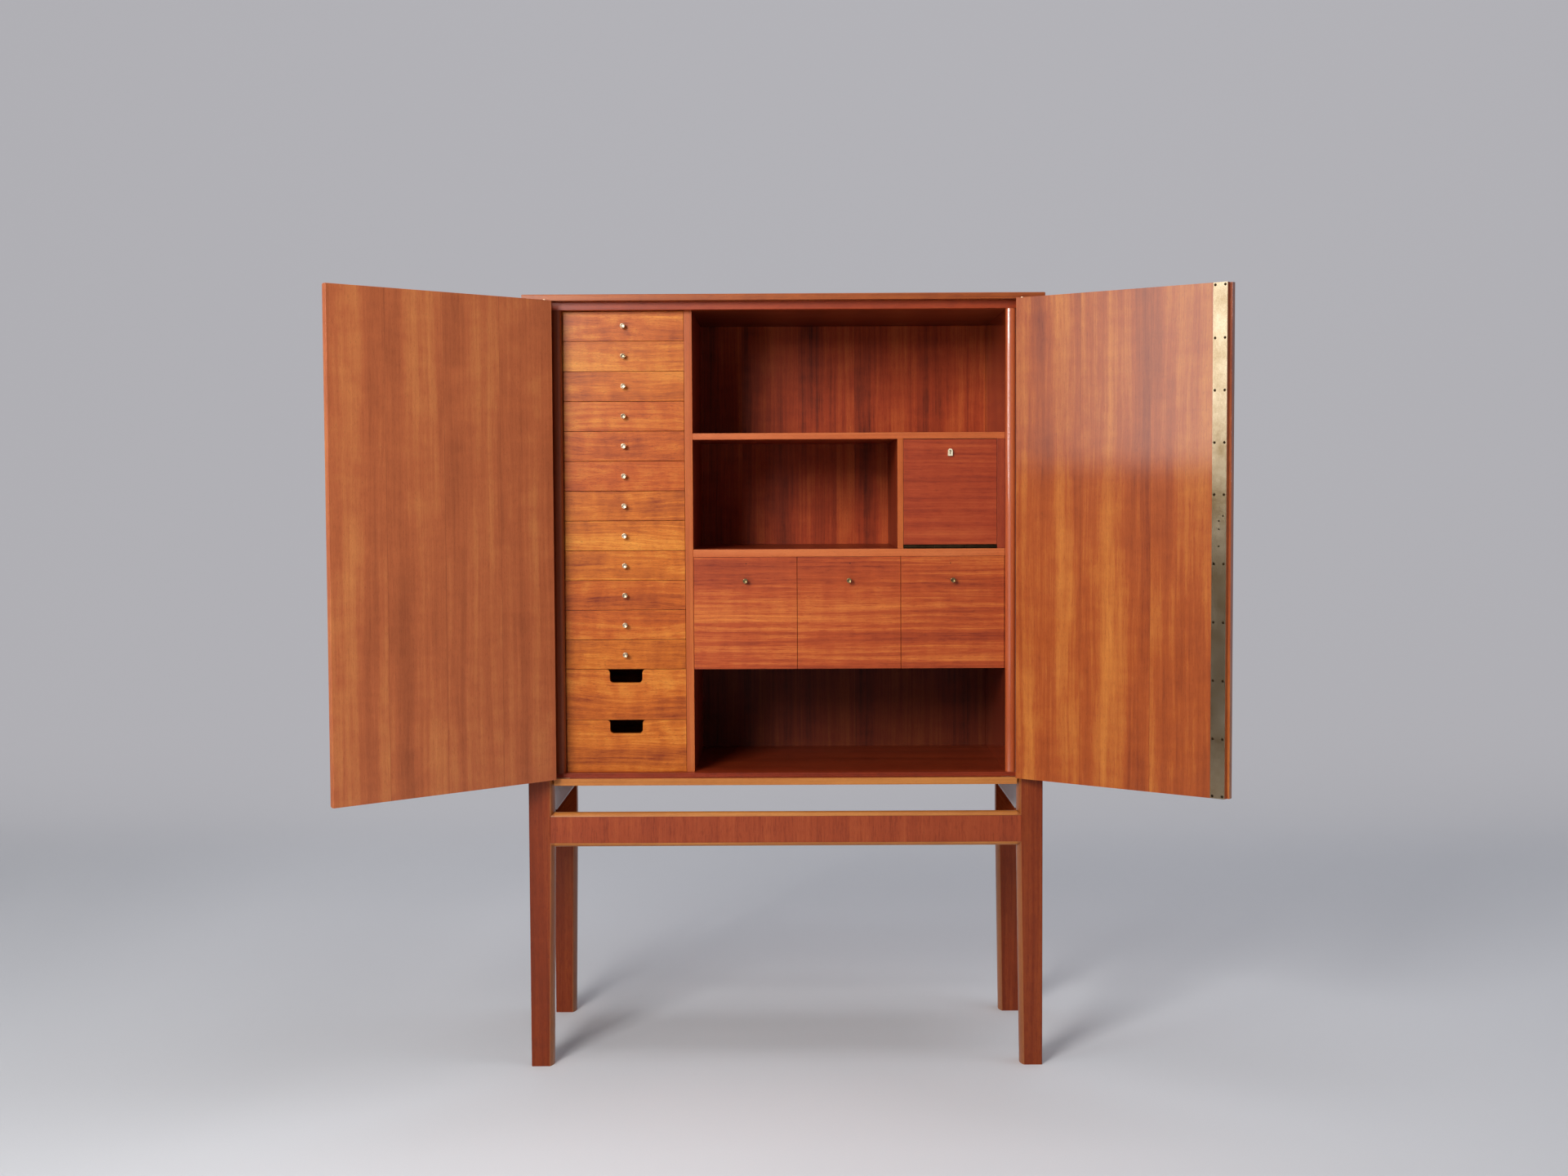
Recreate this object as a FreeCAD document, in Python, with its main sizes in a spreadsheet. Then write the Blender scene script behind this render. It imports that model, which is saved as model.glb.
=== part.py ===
import FreeCAD, Part
import Sketcher
import math
import os
import re

# Cabinet on a tall four-legged frame. Two doors, standing open, show a bank of twelve shallow
# drawers over two tray drawers on the left, and two open bays, a locked drop flap, three deep
# drawers and a low open bay on the right.
#
# Frame: X runs to the right, Y to the back, Z up. The origin is on the floor, on the middle plane,
# below the plane of the drawer fronts. Formulas are written in the names of the sheet, with Y
# counted from the front face of the legs, and placed by "front_setback" in one function.

doc = FreeCAD.newDocument("Cabinet")
sheet = doc.addObject("Spreadsheet::Sheet", "Sizes")

SIZES = [
    ("overall_height", 1500, "floor to the top face"),
    ("top_overhang", 3, "top slab beyond the outside of the legs"),
    ("top_thick", 12, "top slab"),
    ("top_round", 2, "rounding of the top slab's edges"),
    ("frame_width", 998, "outside of the legs, left to right"),
    ("frame_depth", 434, "front face of the front legs to the back of the back legs"),
    ("post_width", 41.2, "leg without its lipping, seen from the front"),
    ("post_depth", 45, "leg, front to back"),
    ("post_round", 2, "rounding of the legs' outer edges"),
    ("foot_taper", 6.5, "narrowing of the leg at the floor, on its inner side"),
    ("lipping_thick", 8, "solid lipping on the legs and the front stretcher"),
    ("lipping_arc", 40, "radius of the legs' lippings across their depth"),
    ("stretcher_arc", 12.2, "radius of the stretcher's lippings across their depth"),
    ("stretcher_height", 67.5, "stretcher with both lippings"),
    ("case_gap", 53, "stretchers to the underside of the case"),
    ("stretcher_thick", 22, "front stretcher"),
    ("stretcher_setback", 0.5, "leg face to the front stretcher"),
    ("base_height", 552, "floor to the underside of the case"),
    ("bottom_thick", 20, "bottom board"),
    ("lip_thick", 13.5, "bottom board under the doors"),
    ("top_board_thick", 16, "inner top board"),
    ("side_thick", 20, "side panels"),
    ("nosing_round", 8, "rounding of the side panels' front edges"),
    ("case_side_gap", 0.3, "side panel to the lipping beside it"),
    ("stop_setback", 24.3, "leg face to the edges the doors close against"),
    ("front_setback", 45, "leg face to the drawer fronts and shelf edges"),
    ("back_thick", 8, "back panel"),
    ("back_inset", 12, "back of the frame to the back panel"),
    ("divider_thick", 15.5, "main divider"),
    ("bank_width", 236, "clear width of the drawer bank"),
    ("bay_difference", 35, "the upper bay is higher than the lower bay by this"),
    ("upper_shelf_thick", 12.5, "upper shelf"),
    ("middle_bay_height", 213.8, "upper shelf to the middle shelf"),
    ("middle_shelf_thick", 15, "middle shelf"),
    ("deep_front_height", 219.2, "fronts of the deep drawers"),
    ("lower_shelf_thick", 12.5, "shelf that carries the deep drawers"),
    ("partition_thick", 11.2, "thin partitions"),
    ("flap_bay_width", 197.5, "clear width of the flap's compartment"),
    ("front_gap", 0.8, "joint between neighbouring fronts"),
    ("side_gap", 0.5, "drawer to the board beside it"),
    ("slide_gap", 0.3, "running clearance under and over sliding pieces"),
    ("tray_space", 202.8, "floor of the case to the lowest shallow drawer"),
    ("tray_front_height", 98.8, "front of the upper tray drawer"),
    ("front_thick", 14, "drawer fronts"),
    ("drawer_side_thick", 8, "drawer sides and backs"),
    ("drawer_bottom_thick", 4, "drawer bottoms"),
    ("drawer_back_gap", 0.4, "back of a drawer to the back panel"),
    ("drawer_headroom", 4, "drawer sides below the front's top edge"),
    ("bottom_lift", 3, "drawer bottom above the lower edge of the sides"),
    ("runner_height", 6, "drawer runners"),
    ("runner_width", 10, "drawer runners"),
    ("cutout_mouth", 78, "finger cut-out at the top edge of a tray front"),
    ("cutout_width", 64, "finger cut-out below its shoulders"),
    ("cutout_depth", 26.5, "finger cut-out"),
    ("cutout_round", 8, "rounding of the cut-out's lower corners"),
    ("knob_length", 14, "knob, front to face"),
    ("knob_head_radius", 4.9, "knob"),
    ("knob_neck_radius", 3.2, "neck of the knob"),
    ("knob_head_length", 6.5, "cylindrical head of the knob"),
    ("deep_knob_drop", 46, "top of a deep front to its knob"),
    ("door_thick", 20.8, "doors"),
    ("door_setback", 3, "leg face to the doors when closed"),
    ("door_gap", 0.9, "door to the boards above and below it"),
    ("door_end_gap", 1, "door to the leg beside it"),
    ("meeting_offset", 23.2, "middle plane to the joint between the closed doors"),
    ("meeting_gap", 0.6, "joint between the closed doors"),
    ("lap_length", 5, "overlap of the doors' rebated edges"),
    ("lap_thick", 10, "inner lip of the left door"),
    ("lap_gap", 0.4, "clearance between the lapped lips"),
    ("door_round", 1, "rounding of the doors' upright edges"),
    ("pivot_side", 0.2, "inner face of the leg to the pivot axis"),
    ("pivot_front", 0.5, "pivot axis in front of the leg face"),
    ("pivot_eye_radius", 3.2, "eyes of the pivot hinges"),
    ("pivot_pin_radius", 1.5, "pins of the pivot hinges"),
    ("pivot_play", 0.3, "pin to eye"),
    ("pivot_notch_gap", 0.4, "eye to its notch in the leg"),
    ("plate_thick", 2.5, "pivot plates and leaves"),
    ("plate_length", 38, "pivot plates and leaves, from the axis"),
    ("plate_width", 11, "pivot plates and leaves"),
    ("plate_edge", 2, "face of the door to the plate behind it"),
    ("strip_width", 27.5, "brass strip on the right door"),
    ("strip_thick", 1.5, "brass strip on the right door"),
    ("rod_width", 8, "bolt rods behind the strip"),
    ("rod_thick", 4, "bolt rods behind the strip"),
    ("rod_travel", 8, "bolt rods"),
    ("rod_play", 0.3, "bolt rods in their groove"),
    ("rod_inset", 0.6, "end of a drawn-back rod inside the door's edge"),
    ("lock_height", 1040, "floor to the door's keyhole"),
    ("lock_case_width", 14, "case of the door lock"),
    ("lock_case_length", 58, "case of the door lock"),
    ("lock_case_thick", 8, "case of the door lock"),
    ("nail_width", 1.8, "square nails of the strip"),
    ("nail_proud", 0.3, "nails of the strip"),
    ("nail_length", 8, "nails of the strip"),
    ("nail_edge", 4.3, "edge of the strip to its nails"),
    ("nail_low_end", 107.6, "lower end of the strip to the second pair of nails"),
    ("nail_low_pitch", 104.7, "pairs of nails below the lock"),
    ("nail_high_end", 98, "upper end of the strip to the second pair of nails"),
    ("nail_high_pitch", 92.6, "pairs of nails above the lock"),
    ("lock_nail_side", 7.8, "one nail of the lock, beside its middle"),
    ("lock_nail_high", 33.4, "nails of the lock, above the keyhole"),
    ("lock_nail_upper", 24.5, "nails of the lock, above the keyhole"),
    ("lock_nail_middle", 9.8, "nails of the lock, above the keyhole"),
    ("lock_nail_low", 20.6, "nails of the lock, below the keyhole"),
    ("escutcheon_width", 9, "keyhole escutcheons"),
    ("escutcheon_height", 14, "keyhole escutcheons"),
    ("escutcheon_flat", 2, "door escutcheon, thickness"),
    ("escutcheon_reach", 7, "flap escutcheon, thickness"),
    ("keyhole_radius", 1.9, "round part of a keyhole"),
    ("keyhole_slot", 1.6, "slot of a keyhole, width"),
    ("keyhole_drop", 4.6, "slot of a keyhole, length below its round part"),
    ("stile_width", 15, "upright strip between the flap and the side panel"),
    ("stile_depth", 20, "upright strip between the flap and the side panel"),
    ("flap_thick", 14, "flap"),
    ("flap_gap", 1, "flap to the shelf above it"),
    ("flap_lift", 8, "middle shelf to the flap"),
    ("flap_lock_drop", 23, "top of the flap to its keyhole"),
    ("knuckle_radius", 3.5, "flap hinge"),
    ("hinge_pin_radius", 1, "flap hinge"),
    ("leaf_thick", 1.5, "flap hinge leaves"),
    ("leaf_width", 9, "flap hinge leaves"),
    ("bolt_width", 10, "flap bolt"),
    ("bolt_thick", 3, "flap bolt"),
    ("bolt_length", 30, "flap bolt"),
    ("bolt_travel", 6, "flap bolt"),
    ("keep_play", 0.8, "flap bolt to its keep in the shelf above"),
    ("bolt_inset", 0.5, "end of the drawn-back bolt inside the flap's edge"),
    ("batten_thick", 8, "stop batten behind the flap"),
    ("left_door_angle", 137.4, "opening angle of the left door, degrees"),
    ("right_door_angle", 142.2, "opening angle of the right door, degrees"),
    ("overrun", 2, "cutters run past the faces they cut"),
]
for row, (alias, value, note) in enumerate(SIZES, start=1):
    sheet.set(f"A{row}", note)
    sheet.set(f"B{row}", str(value))
    sheet.setAlias(f"B{row}", alias)
doc.recompute()
ALIASES = {alias for alias, value, note in SIZES}
SMALL_DRAWERS = 12
DEEP_DRAWERS = 3
NAIL_ROWS = 4
KNUCKLES = 3

# Places that follow from the sizes. Each is a formula in sheet names or in earlier places.
PLACES = {
    "top_under": "overall_height - top_thick",
    "case_top": "top_under - top_board_thick",
    "top_width": "frame_width + 2 * top_overhang",
    "stretcher_base": "base_height - case_gap - stretcher_height",
    "case_height": "case_top - base_height - bottom_thick",
    "floor_top": "base_height + bottom_thick",
    "lip_top": "base_height + lip_thick",
    "post_out": "frame_width / 2",
    "post_in": "post_out - post_width",
    "outer_side": "post_in - lipping_thick - case_side_gap",
    "inner_side": "outer_side - side_thick",
    "back_face": "frame_depth - back_inset - back_thick",
    "drawer_length": "back_face - front_setback - drawer_back_gap",
    "stretcher_top": "stretcher_base + stretcher_height",
    "divider_left": "bank_width - inner_side",
    "divider_right": "divider_left + divider_thick",
    "shelf_stack": "upper_shelf_thick + middle_bay_height + middle_shelf_thick",
    "deep_stack": "slide_gap + deep_front_height - front_gap",
    "upper_bay_height": "(case_height - shelf_stack - deep_stack + bay_difference) / 2",
    "upper_top": "case_top - upper_bay_height",
    "upper_under": "upper_top - upper_shelf_thick",
    "middle_top": "upper_under - middle_bay_height",
    "middle_under": "middle_top - middle_shelf_thick",
    "deep_top": "middle_under - slide_gap",
    "deep_base": "deep_top - deep_front_height",
    "lower_under": "deep_base + front_gap",
    "lower_top": "lower_under + lower_shelf_thick",
    "bay_width": "inner_side - divider_right",
    "deep_pitch": f"bay_width / {DEEP_DRAWERS}",
    "flap_left": "inner_side - flap_bay_width",
    "flap_width": "flap_bay_width - stile_width",
    "flap_right": "flap_left + flap_width",
    "flap_face": "front_setback",
    "flap_base": "middle_top + flap_lift",
    "flap_top": "upper_under - flap_gap",
    "flap_axis": "middle_top + knuckle_radius + slide_gap",
    "door_base": "lip_top + door_gap",
    "door_top": "top_under - door_gap",
    "pivot_x": "post_in - pivot_side",
    "pivot_y": "0 - pivot_front",
    "door_end": "pivot_side - door_end_gap",
    "door_outer": "door_setback + pivot_front",
    "door_inner": "door_outer + door_thick",
    "left_inner_width": "pivot_x + meeting_offset - meeting_gap / 2",
    "left_outer_width": "left_inner_width - lap_length",
    "right_inner_width": "pivot_x - meeting_offset - meeting_gap / 2",
    "right_outer_width": "right_inner_width + lap_length",
    "rod_middle": "strip_width / 2 - right_inner_width",
    "rod_back": "door_inner - strip_thick - rod_play",
    "small_pitch": f"(case_height - tray_space) / {SMALL_DRAWERS}",
    "small_front_height": "small_pitch - front_gap",
    "bank_middle": "divider_left - bank_width / 2",
    "knee": "stretcher_base + lipping_thick",
    "bolt_front": "flap_face + flap_thick / 2 - bolt_thick / 2",
    "bolt_behind": "flap_face + flap_thick / 2 + bolt_thick / 2",
    "fronts_back": "front_setback + front_thick",
    "flap_middle": "flap_left + flap_width / 2",
    "flap_key": "flap_top - flap_lock_drop",
    "leaf_start": "knuckle_radius + slide_gap",
}


def formula(text):
    """Spell a formula out in sheet cells, working the named places out on the way."""
    def swap(match):
        word = match.group(0)
        if word in PLACES:
            return "(" + formula(PLACES[word]) + ")"
        if word in ALIASES:
            return "Sizes." + word
        raise ValueError("unknown size: " + word)
    return re.sub(r"[a-z][a-z_]+", swap, text)


def size(text):
    """The present value of a formula, in millimetres or degrees."""
    values = {alias: float(getattr(sheet, alias)) for alias in ALIASES}

    def swap(match):
        word = match.group(0)
        if word in PLACES:
            return repr(size(PLACES[word]))
        return repr(values[word])
    total = re.sub(r"[a-z][a-z_]+", swap, text)
    return float(FreeCAD.Units.Quantity(total).Value)


def bind(thing, prop, text):
    """Tie a property to a formula."""
    thing.setExpression(prop, formula(text))


def place(thing, x, y, z, turned=None):
    """Place a piece at X, Y, Z. Y is counted from the leg face, unless the piece is turned with
    a door, whose own frame starts on its pivot axis."""
    bind(thing, "Placement.Base.x", x)
    bind(thing, "Placement.Base.y", y if turned else f"({y}) - front_setback")
    bind(thing, "Placement.Base.z", z)
    return thing


def box(name, x, y, z, door=False):
    """A board between two X, two Y and two Z formulas."""
    thing = doc.addObject("Part::Box", name)
    bind(thing, "Length", f"({x[1]}) - ({x[0]})")
    bind(thing, "Width", f"({y[1]}) - ({y[0]})")
    bind(thing, "Height", f"({z[1]}) - ({z[0]})")
    return place(thing, x[0], y[0], z[0], door)


def rod(name, radius, length, at, axis="Z", door=False):
    """A round bar from a point, along X, along Y towards the back, or along Z."""
    thing = doc.addObject("Part::Cylinder", name)
    bind(thing, "Radius", radius)
    bind(thing, "Height", length)
    turn = {
        "X": FreeCAD.Rotation(FreeCAD.Vector(0, 1, 0), 90),
        "Y": FreeCAD.Rotation(FreeCAD.Vector(1, 0, 0), -90),
        "Z": FreeCAD.Rotation(),
    }[axis]
    thing.Placement = FreeCAD.Placement(FreeCAD.Vector(), turn)
    return place(thing, at[0], at[1], at[2], door)


def fuse(name, parts):
    """One solid from pieces that touch or cross."""
    thing = doc.addObject("Part::MultiFuse", name)
    thing.Shapes = parts
    thing.Refine = True
    return thing


def cut(name, base, tools):
    """Take one or more tools away from a base, one after the other."""
    thing = base
    for number, tool in enumerate(tools, start=1):
        step = doc.addObject("Part::Cut", f"{name}_{number}")
        step.Base = thing
        step.Tool = tool
        thing = step
    thing.Refine = True
    return thing


def group(name, parts):
    """Separate solids kept in one piece's node."""
    thing = doc.addObject("Part::Compound", name)
    thing.Links = parts
    return thing


def outline(body, plane, corners):
    """A closed sketch of straight edges on one origin plane of a body. Each corner is tied to
    the origin by two formulas."""
    sketch = body.newObject("Sketcher::SketchObject", body.Name + "_outline")
    face = [f for f in body.Origin.OriginFeatures if f.Role == plane + "_Plane"][0]
    sketch.AttachmentSupport = [(face, "")]
    sketch.MapMode = "FlatFace"
    points = [FreeCAD.Vector(size(u), size(v), 0) for u, v in corners]
    for number, point in enumerate(points):
        sketch.addGeometry(Part.LineSegment(point, points[(number + 1) % len(points)]))
    for number in range(len(points)):
        after = (number + 1) % len(points)
        sketch.addConstraint(Sketcher.Constraint("Coincident", number, 2, after, 1))
    for number, (u, v) in enumerate(corners):
        for kind, text, value in (("DistanceX", u, points[number].x), ("DistanceY", v, points[number].y)):
            tie = sketch.addConstraint(Sketcher.Constraint(kind, -1, 1, number, 1, value))
            sketch.renameConstraint(tie, f"{kind}_{number}")
            bind(sketch, f"Constraints.{kind}_{number}", text)
    return sketch


def prism(name, plane, corners, length, at, door=False):
    """A body padded from an outline. Outlines on XY grow up, on XZ to the back and on YZ to the
    right."""
    body = doc.addObject("PartDesign::Body", name)
    sketch = outline(body, plane, corners)
    pad = body.newObject("PartDesign::Pad", name + "_pad")
    pad.Profile = sketch
    bind(pad, "Length", length)
    pad.Reversed = plane == "XZ"
    body.Tip = pad
    place(body, at[0], at[1], at[2], door)
    return body


def round_edges(body, radius, chosen):
    """Fillet the edges of a body's last feature that a test on their end points accepts. The
    test works in the body's own frame."""
    doc.recompute()
    base = body.Tip
    names = []
    for number, edge in enumerate(base.Shape.Edges, start=1):
        if len(edge.Vertexes) == 2 and chosen(edge.Vertexes[0].Point, edge.Vertexes[1].Point):
            names.append(f"Edge{number}")
    fillet = body.newObject("PartDesign::Fillet", body.Name + "_fillet")
    fillet.Base = (base, names)
    bind(fillet, "Radius", radius)
    body.Tip = fillet
    return body


def near(value, text):
    """True where a coordinate is the one that a formula gives."""
    return abs(value - size(text)) < size("slide_gap")


def upright(a, b):
    """True for the ends of an edge that stands."""
    return abs(a.z - b.z) > size("overrun")


def along_y(a, b):
    """True for the ends of an edge that runs from front to back."""
    return abs(a.y - b.y) > size("overrun")


def side(sign, x):
    """A pair of X formulas, mirrored for the left-hand side."""
    if sign > 0:
        return x
    return (f"0 - ({x[1]})", f"0 - ({x[0]})")


def mirrored(sign, corners):
    """Corner formulas, mirrored for the left-hand side."""
    return [(u if sign > 0 else f"0 - ({u})", v) for u, v in corners]


nodes = []


def node(thing, name):
    """Take a finished piece up under the name of its file."""
    thing.Label = name
    nodes.append(thing)
    return thing


# Pivot hinges. Each door hangs between a fixed plate above and one below. A plate is let into
# the board, its eye stands out at the front corner of the leg and its pin enters the eye of the
# leaf on the door.

def pivot_plate(name, sign, z, pin_z):
    """A plate with its eye and pin, as one solid, for the boards over and under a door."""
    reach = f"{sign} * pivot_x"
    blade = box(
        name + "_blade",
        side(sign, ("pivot_x - plate_length", "pivot_x")),
        ("door_setback + plate_edge", "door_setback + plate_edge + plate_width"),
        z,
    )
    lug = box(
        name + "_lug",
        side(sign, ("pivot_x - pivot_eye_radius", "pivot_x")),
        ("pivot_y", "door_setback + plate_edge + plate_width / 2"),
        z,
    )
    eye = rod(name + "_eye", "pivot_eye_radius", f"({z[1]}) - ({z[0]})", (reach, "pivot_y", z[0]))
    pin_length = f"({pin_z[1]}) - ({pin_z[0]})"
    pin = rod(name + "_pin", "pivot_pin_radius", pin_length, (reach, "pivot_y", pin_z[0]))
    return fuse(name, [blade, lug, eye, pin])


def pivot_leaf(name, sign, z):
    """The moving half, let into the door's upper or lower edge, in the door's own frame."""
    blade = box(
        name + "_blade",
        side(sign, ("0 - plate_length", "door_end")),
        ("door_outer + plate_edge", "door_outer + plate_edge + plate_width"),
        z,
        door=True,
    )
    lug = box(
        name + "_lug",
        side(sign, ("0 - pivot_eye_radius", "door_end")),
        ("0", "door_outer + plate_edge + plate_width / 2"),
        z,
        door=True,
    )
    eye = rod(name + "_eye", "pivot_eye_radius", f"({z[1]}) - ({z[0]})", ("0", "0", z[0]), door=True)
    bore = rod(
        name + "_bore",
        "pivot_pin_radius + pivot_play",
        f"({z[1]}) - ({z[0]}) + 2 * overrun",
        ("0", "0", f"{z[0]} - overrun"),
        door=True,
    )
    return cut(name + "_bored", fuse(name, [blade, lug, eye]), [bore])


UPPER_PLATE = ("top_under", "top_under + plate_thick")
LOWER_PLATE = ("lip_top - plate_thick", "lip_top")
UPPER_LEAF = ("door_top - plate_thick", "door_top")
LOWER_LEAF = ("door_base", "door_base + plate_thick")


def hang(thing, sign):
    """Stand a piece that is drawn in a door's own frame on the pivot, at the door's angle."""
    angle = "right_door_angle" if sign > 0 else "left_door_angle"
    thing.Placement = FreeCAD.Placement(FreeCAD.Vector(), FreeCAD.Rotation(FreeCAD.Vector(0, 0, 1), 1))
    bind(thing, "Placement.Base.x", f"{sign} * pivot_x")
    bind(thing, "Placement.Base.y", "pivot_y - front_setback")
    thing.setExpression("Placement.Rotation.Angle", f"{sign} * {formula(angle)} * 1 deg")
    return thing


UPPER_PIN = ("door_top - plate_thick", "top_under")
LOWER_PIN = ("lip_top", "door_base + plate_thick")
HANDS = ((-1, "left"), (1, "right"))
plates = []
for sign, hand in HANDS:
    plates.append(pivot_plate(f"upper_plate_{hand}", sign, UPPER_PLATE, UPPER_PIN))
    plates.append(pivot_plate(f"lower_plate_{hand}", sign, LOWER_PLATE, LOWER_PIN))
node(group("plates", plates), "pivot_plates")

# Top slab and case. The slab lies on the legs and on the case, and overhangs the legs a little.

slab = prism(
    "slab",
    "XY",
    [
        ("0 - top_width / 2", "0"),
        ("top_width / 2", "0"),
        ("top_width / 2", "frame_depth"),
        ("0 - top_width / 2", "frame_depth"),
    ],
    "top_thick",
    ("0", "0", "top_under"),
)
round_edges(slab, "top_round", lambda a, b: near(a.z, "top_thick") and near(b.z, "top_thick"))
KEEP_X = (
    "pivot_x + rod_middle - rod_width / 2 - rod_play",
    "pivot_x + rod_middle + rod_width / 2 + rod_play",
)
KEEP_Y = ("pivot_y + rod_back - rod_thick - rod_play", "pivot_y + rod_back + rod_play")
upper_keep = box("upper_keep", KEEP_X, KEEP_Y, ("top_under - overrun", "top_under + rod_travel"))
node(cut("slab_cut", slab, [plates[0], plates[2], upper_keep]), "top_slab")

node(
    box(
        "inner_top",
        ("0 - outer_side", "outer_side"),
        ("stop_setback", "back_face + back_thick"),
        ("case_top", "top_under"),
    ),
    "top_board",
)

bottom = prism(
    "bottom",
    "YZ",
    [
        ("0", "base_height"),
        ("frame_depth", "base_height"),
        ("frame_depth", "floor_top"),
        ("stop_setback", "floor_top"),
        ("stop_setback", "lip_top"),
        ("0", "lip_top"),
    ],
    "2 * outer_side",
    ("0 - outer_side", "0", "0"),
)
lower_keep = box("lower_keep", KEEP_X, KEEP_Y, ("lip_top - rod_travel", "lip_top + overrun"))
node(cut("bottom_cut", bottom, [plates[1], plates[3], lower_keep]), "bottom_board")


def side_panel(name, sign):
    """A side of the case. Its front edge is a rounded nosing that the door closes against."""
    body = prism(
        name,
        "XY",
        mirrored(sign, [
            ("inner_side", "stop_setback"),
            ("outer_side", "stop_setback"),
            ("outer_side", "frame_depth"),
            ("inner_side", "frame_depth"),
        ]),
        "case_top - floor_top",
        ("0", "0", "floor_top"),
    )

    def at_front(a, b):
        return upright(a, b) and near(a.y, "stop_setback") and near(b.y, "stop_setback")
    return round_edges(body, "nosing_round", at_front)


node(group("sides", [side_panel("left_side", -1), side_panel("right_side", 1)]), "side_panels")
node(
    box(
        "back",
        ("0 - inner_side", "inner_side"),
        ("back_face", "back_face + back_thick"),
        ("floor_top", "case_top"),
    ),
    "back_panel",
)

# Shelves and partitions of the right-hand part. The shelf under the deep drawers and the thin
# partitions between them lie behind the fronts, which cover their edges.

RIGHT_PART = ("divider_right", "inner_side")
WHOLE_DEPTH = ("front_setback", "back_face")
BEHIND_FRONTS = ("fronts_back + slide_gap", "back_face")
BOLT_ROOM_X = ("flap_middle - bolt_width / 2 - slide_gap", "flap_middle + bolt_width / 2 + slide_gap")
BOLT_ROOM_Y = ("bolt_front - slide_gap", "bolt_behind + slide_gap")
upper_shelf = box("upper", RIGHT_PART, WHOLE_DEPTH, ("upper_under", "upper_top"))
bolt_keep = box(
    "bolt_keep",
    ("flap_middle - bolt_width / 2 - keep_play", "flap_middle + bolt_width / 2 + keep_play"),
    ("bolt_front - keep_play", "bolt_behind + keep_play"),
    ("upper_under - overrun", "upper_under + bolt_travel"),
)
node(cut("upper_cut", upper_shelf, [bolt_keep]), "upper_shelf")
node(box("middle", RIGHT_PART, WHOLE_DEPTH, ("middle_under", "middle_top")), "middle_shelf")
node(box("lower", RIGHT_PART, BEHIND_FRONTS, ("lower_under", "lower_top")), "lower_shelf")
DIVIDER = ("divider_left", "divider_right")
FLAP_SIDE = ("flap_left - partition_thick", "flap_left")
partitions = [
    box("main_divider", DIVIDER, WHOLE_DEPTH, ("floor_top", "case_top")),
    box("flap_partition", FLAP_SIDE, WHOLE_DEPTH, ("middle_top", "upper_under")),
    box(
        "flap_stile",
        ("flap_right", "inner_side"),
        ("front_setback", "front_setback + stile_depth"),
        ("middle_top", "upper_under"),
    ),
]
for number in range(1, DEEP_DRAWERS):
    middle = f"divider_right + {number} * deep_pitch"
    partitions.append(
        box(
            f"deep_partition_{number}",
            (f"{middle} - partition_thick / 2", f"{middle} + partition_thick / 2"),
            BEHIND_FRONTS,
            ("lower_top", "middle_under"),
        )
    )
node(group("all_partitions", partitions), "partitions")

# Leg frame. Each leg is a post of the full height under the slab, tapered on its inner side below
# the stretchers. A lipping, convex across the depth of the leg, runs down the inner side of every
# leg. On the front legs it is mitred into the lippings of the front stretcher.

def post(name, sign, front):
    """A post from the floor to the slab."""
    body = prism(
        name,
        "XZ",
        mirrored(sign, [
            ("post_in + foot_taper", "0"),
            ("post_out", "0"),
            ("post_out", "top_under"),
            ("post_in", "top_under"),
            ("post_in", "knee"),
        ]),
        "post_depth",
        ("0", front, "0"),
    )

    def outside(a, b):
        return upright(a, b) and near(sign * a.x, "post_out") and near(sign * b.x, "post_out")
    return round_edges(body, "post_round", outside)


def eye_notch(name, sign, z):
    """Room for the eye of a door's pivot leaf at the front corner of a leg."""
    return rod(
        name,
        "pivot_eye_radius + pivot_notch_gap",
        f"({z[1]}) - ({z[0]})",
        (f"{sign} * pivot_x", "pivot_y", z[0]),
    )


posts = []
for sign, hand in HANDS:
    upper_z = ("door_top - plate_thick - slide_gap", "top_under + overrun")
    lower_z = ("lip_top", "door_base + plate_thick + slide_gap")
    tools = [
        plates[sign + 2],
        eye_notch(f"upper_notch_{hand}", sign, upper_z),
        eye_notch(f"lower_notch_{hand}", sign, lower_z),
    ]
    posts.append(cut(f"{hand}_front_post_cut", post(f"{hand}_front_post", sign, "0"), tools))
    posts.append(post(f"{hand}_back_post", sign, "frame_depth - post_depth"))
node(group("all_posts", posts), "posts")


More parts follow.
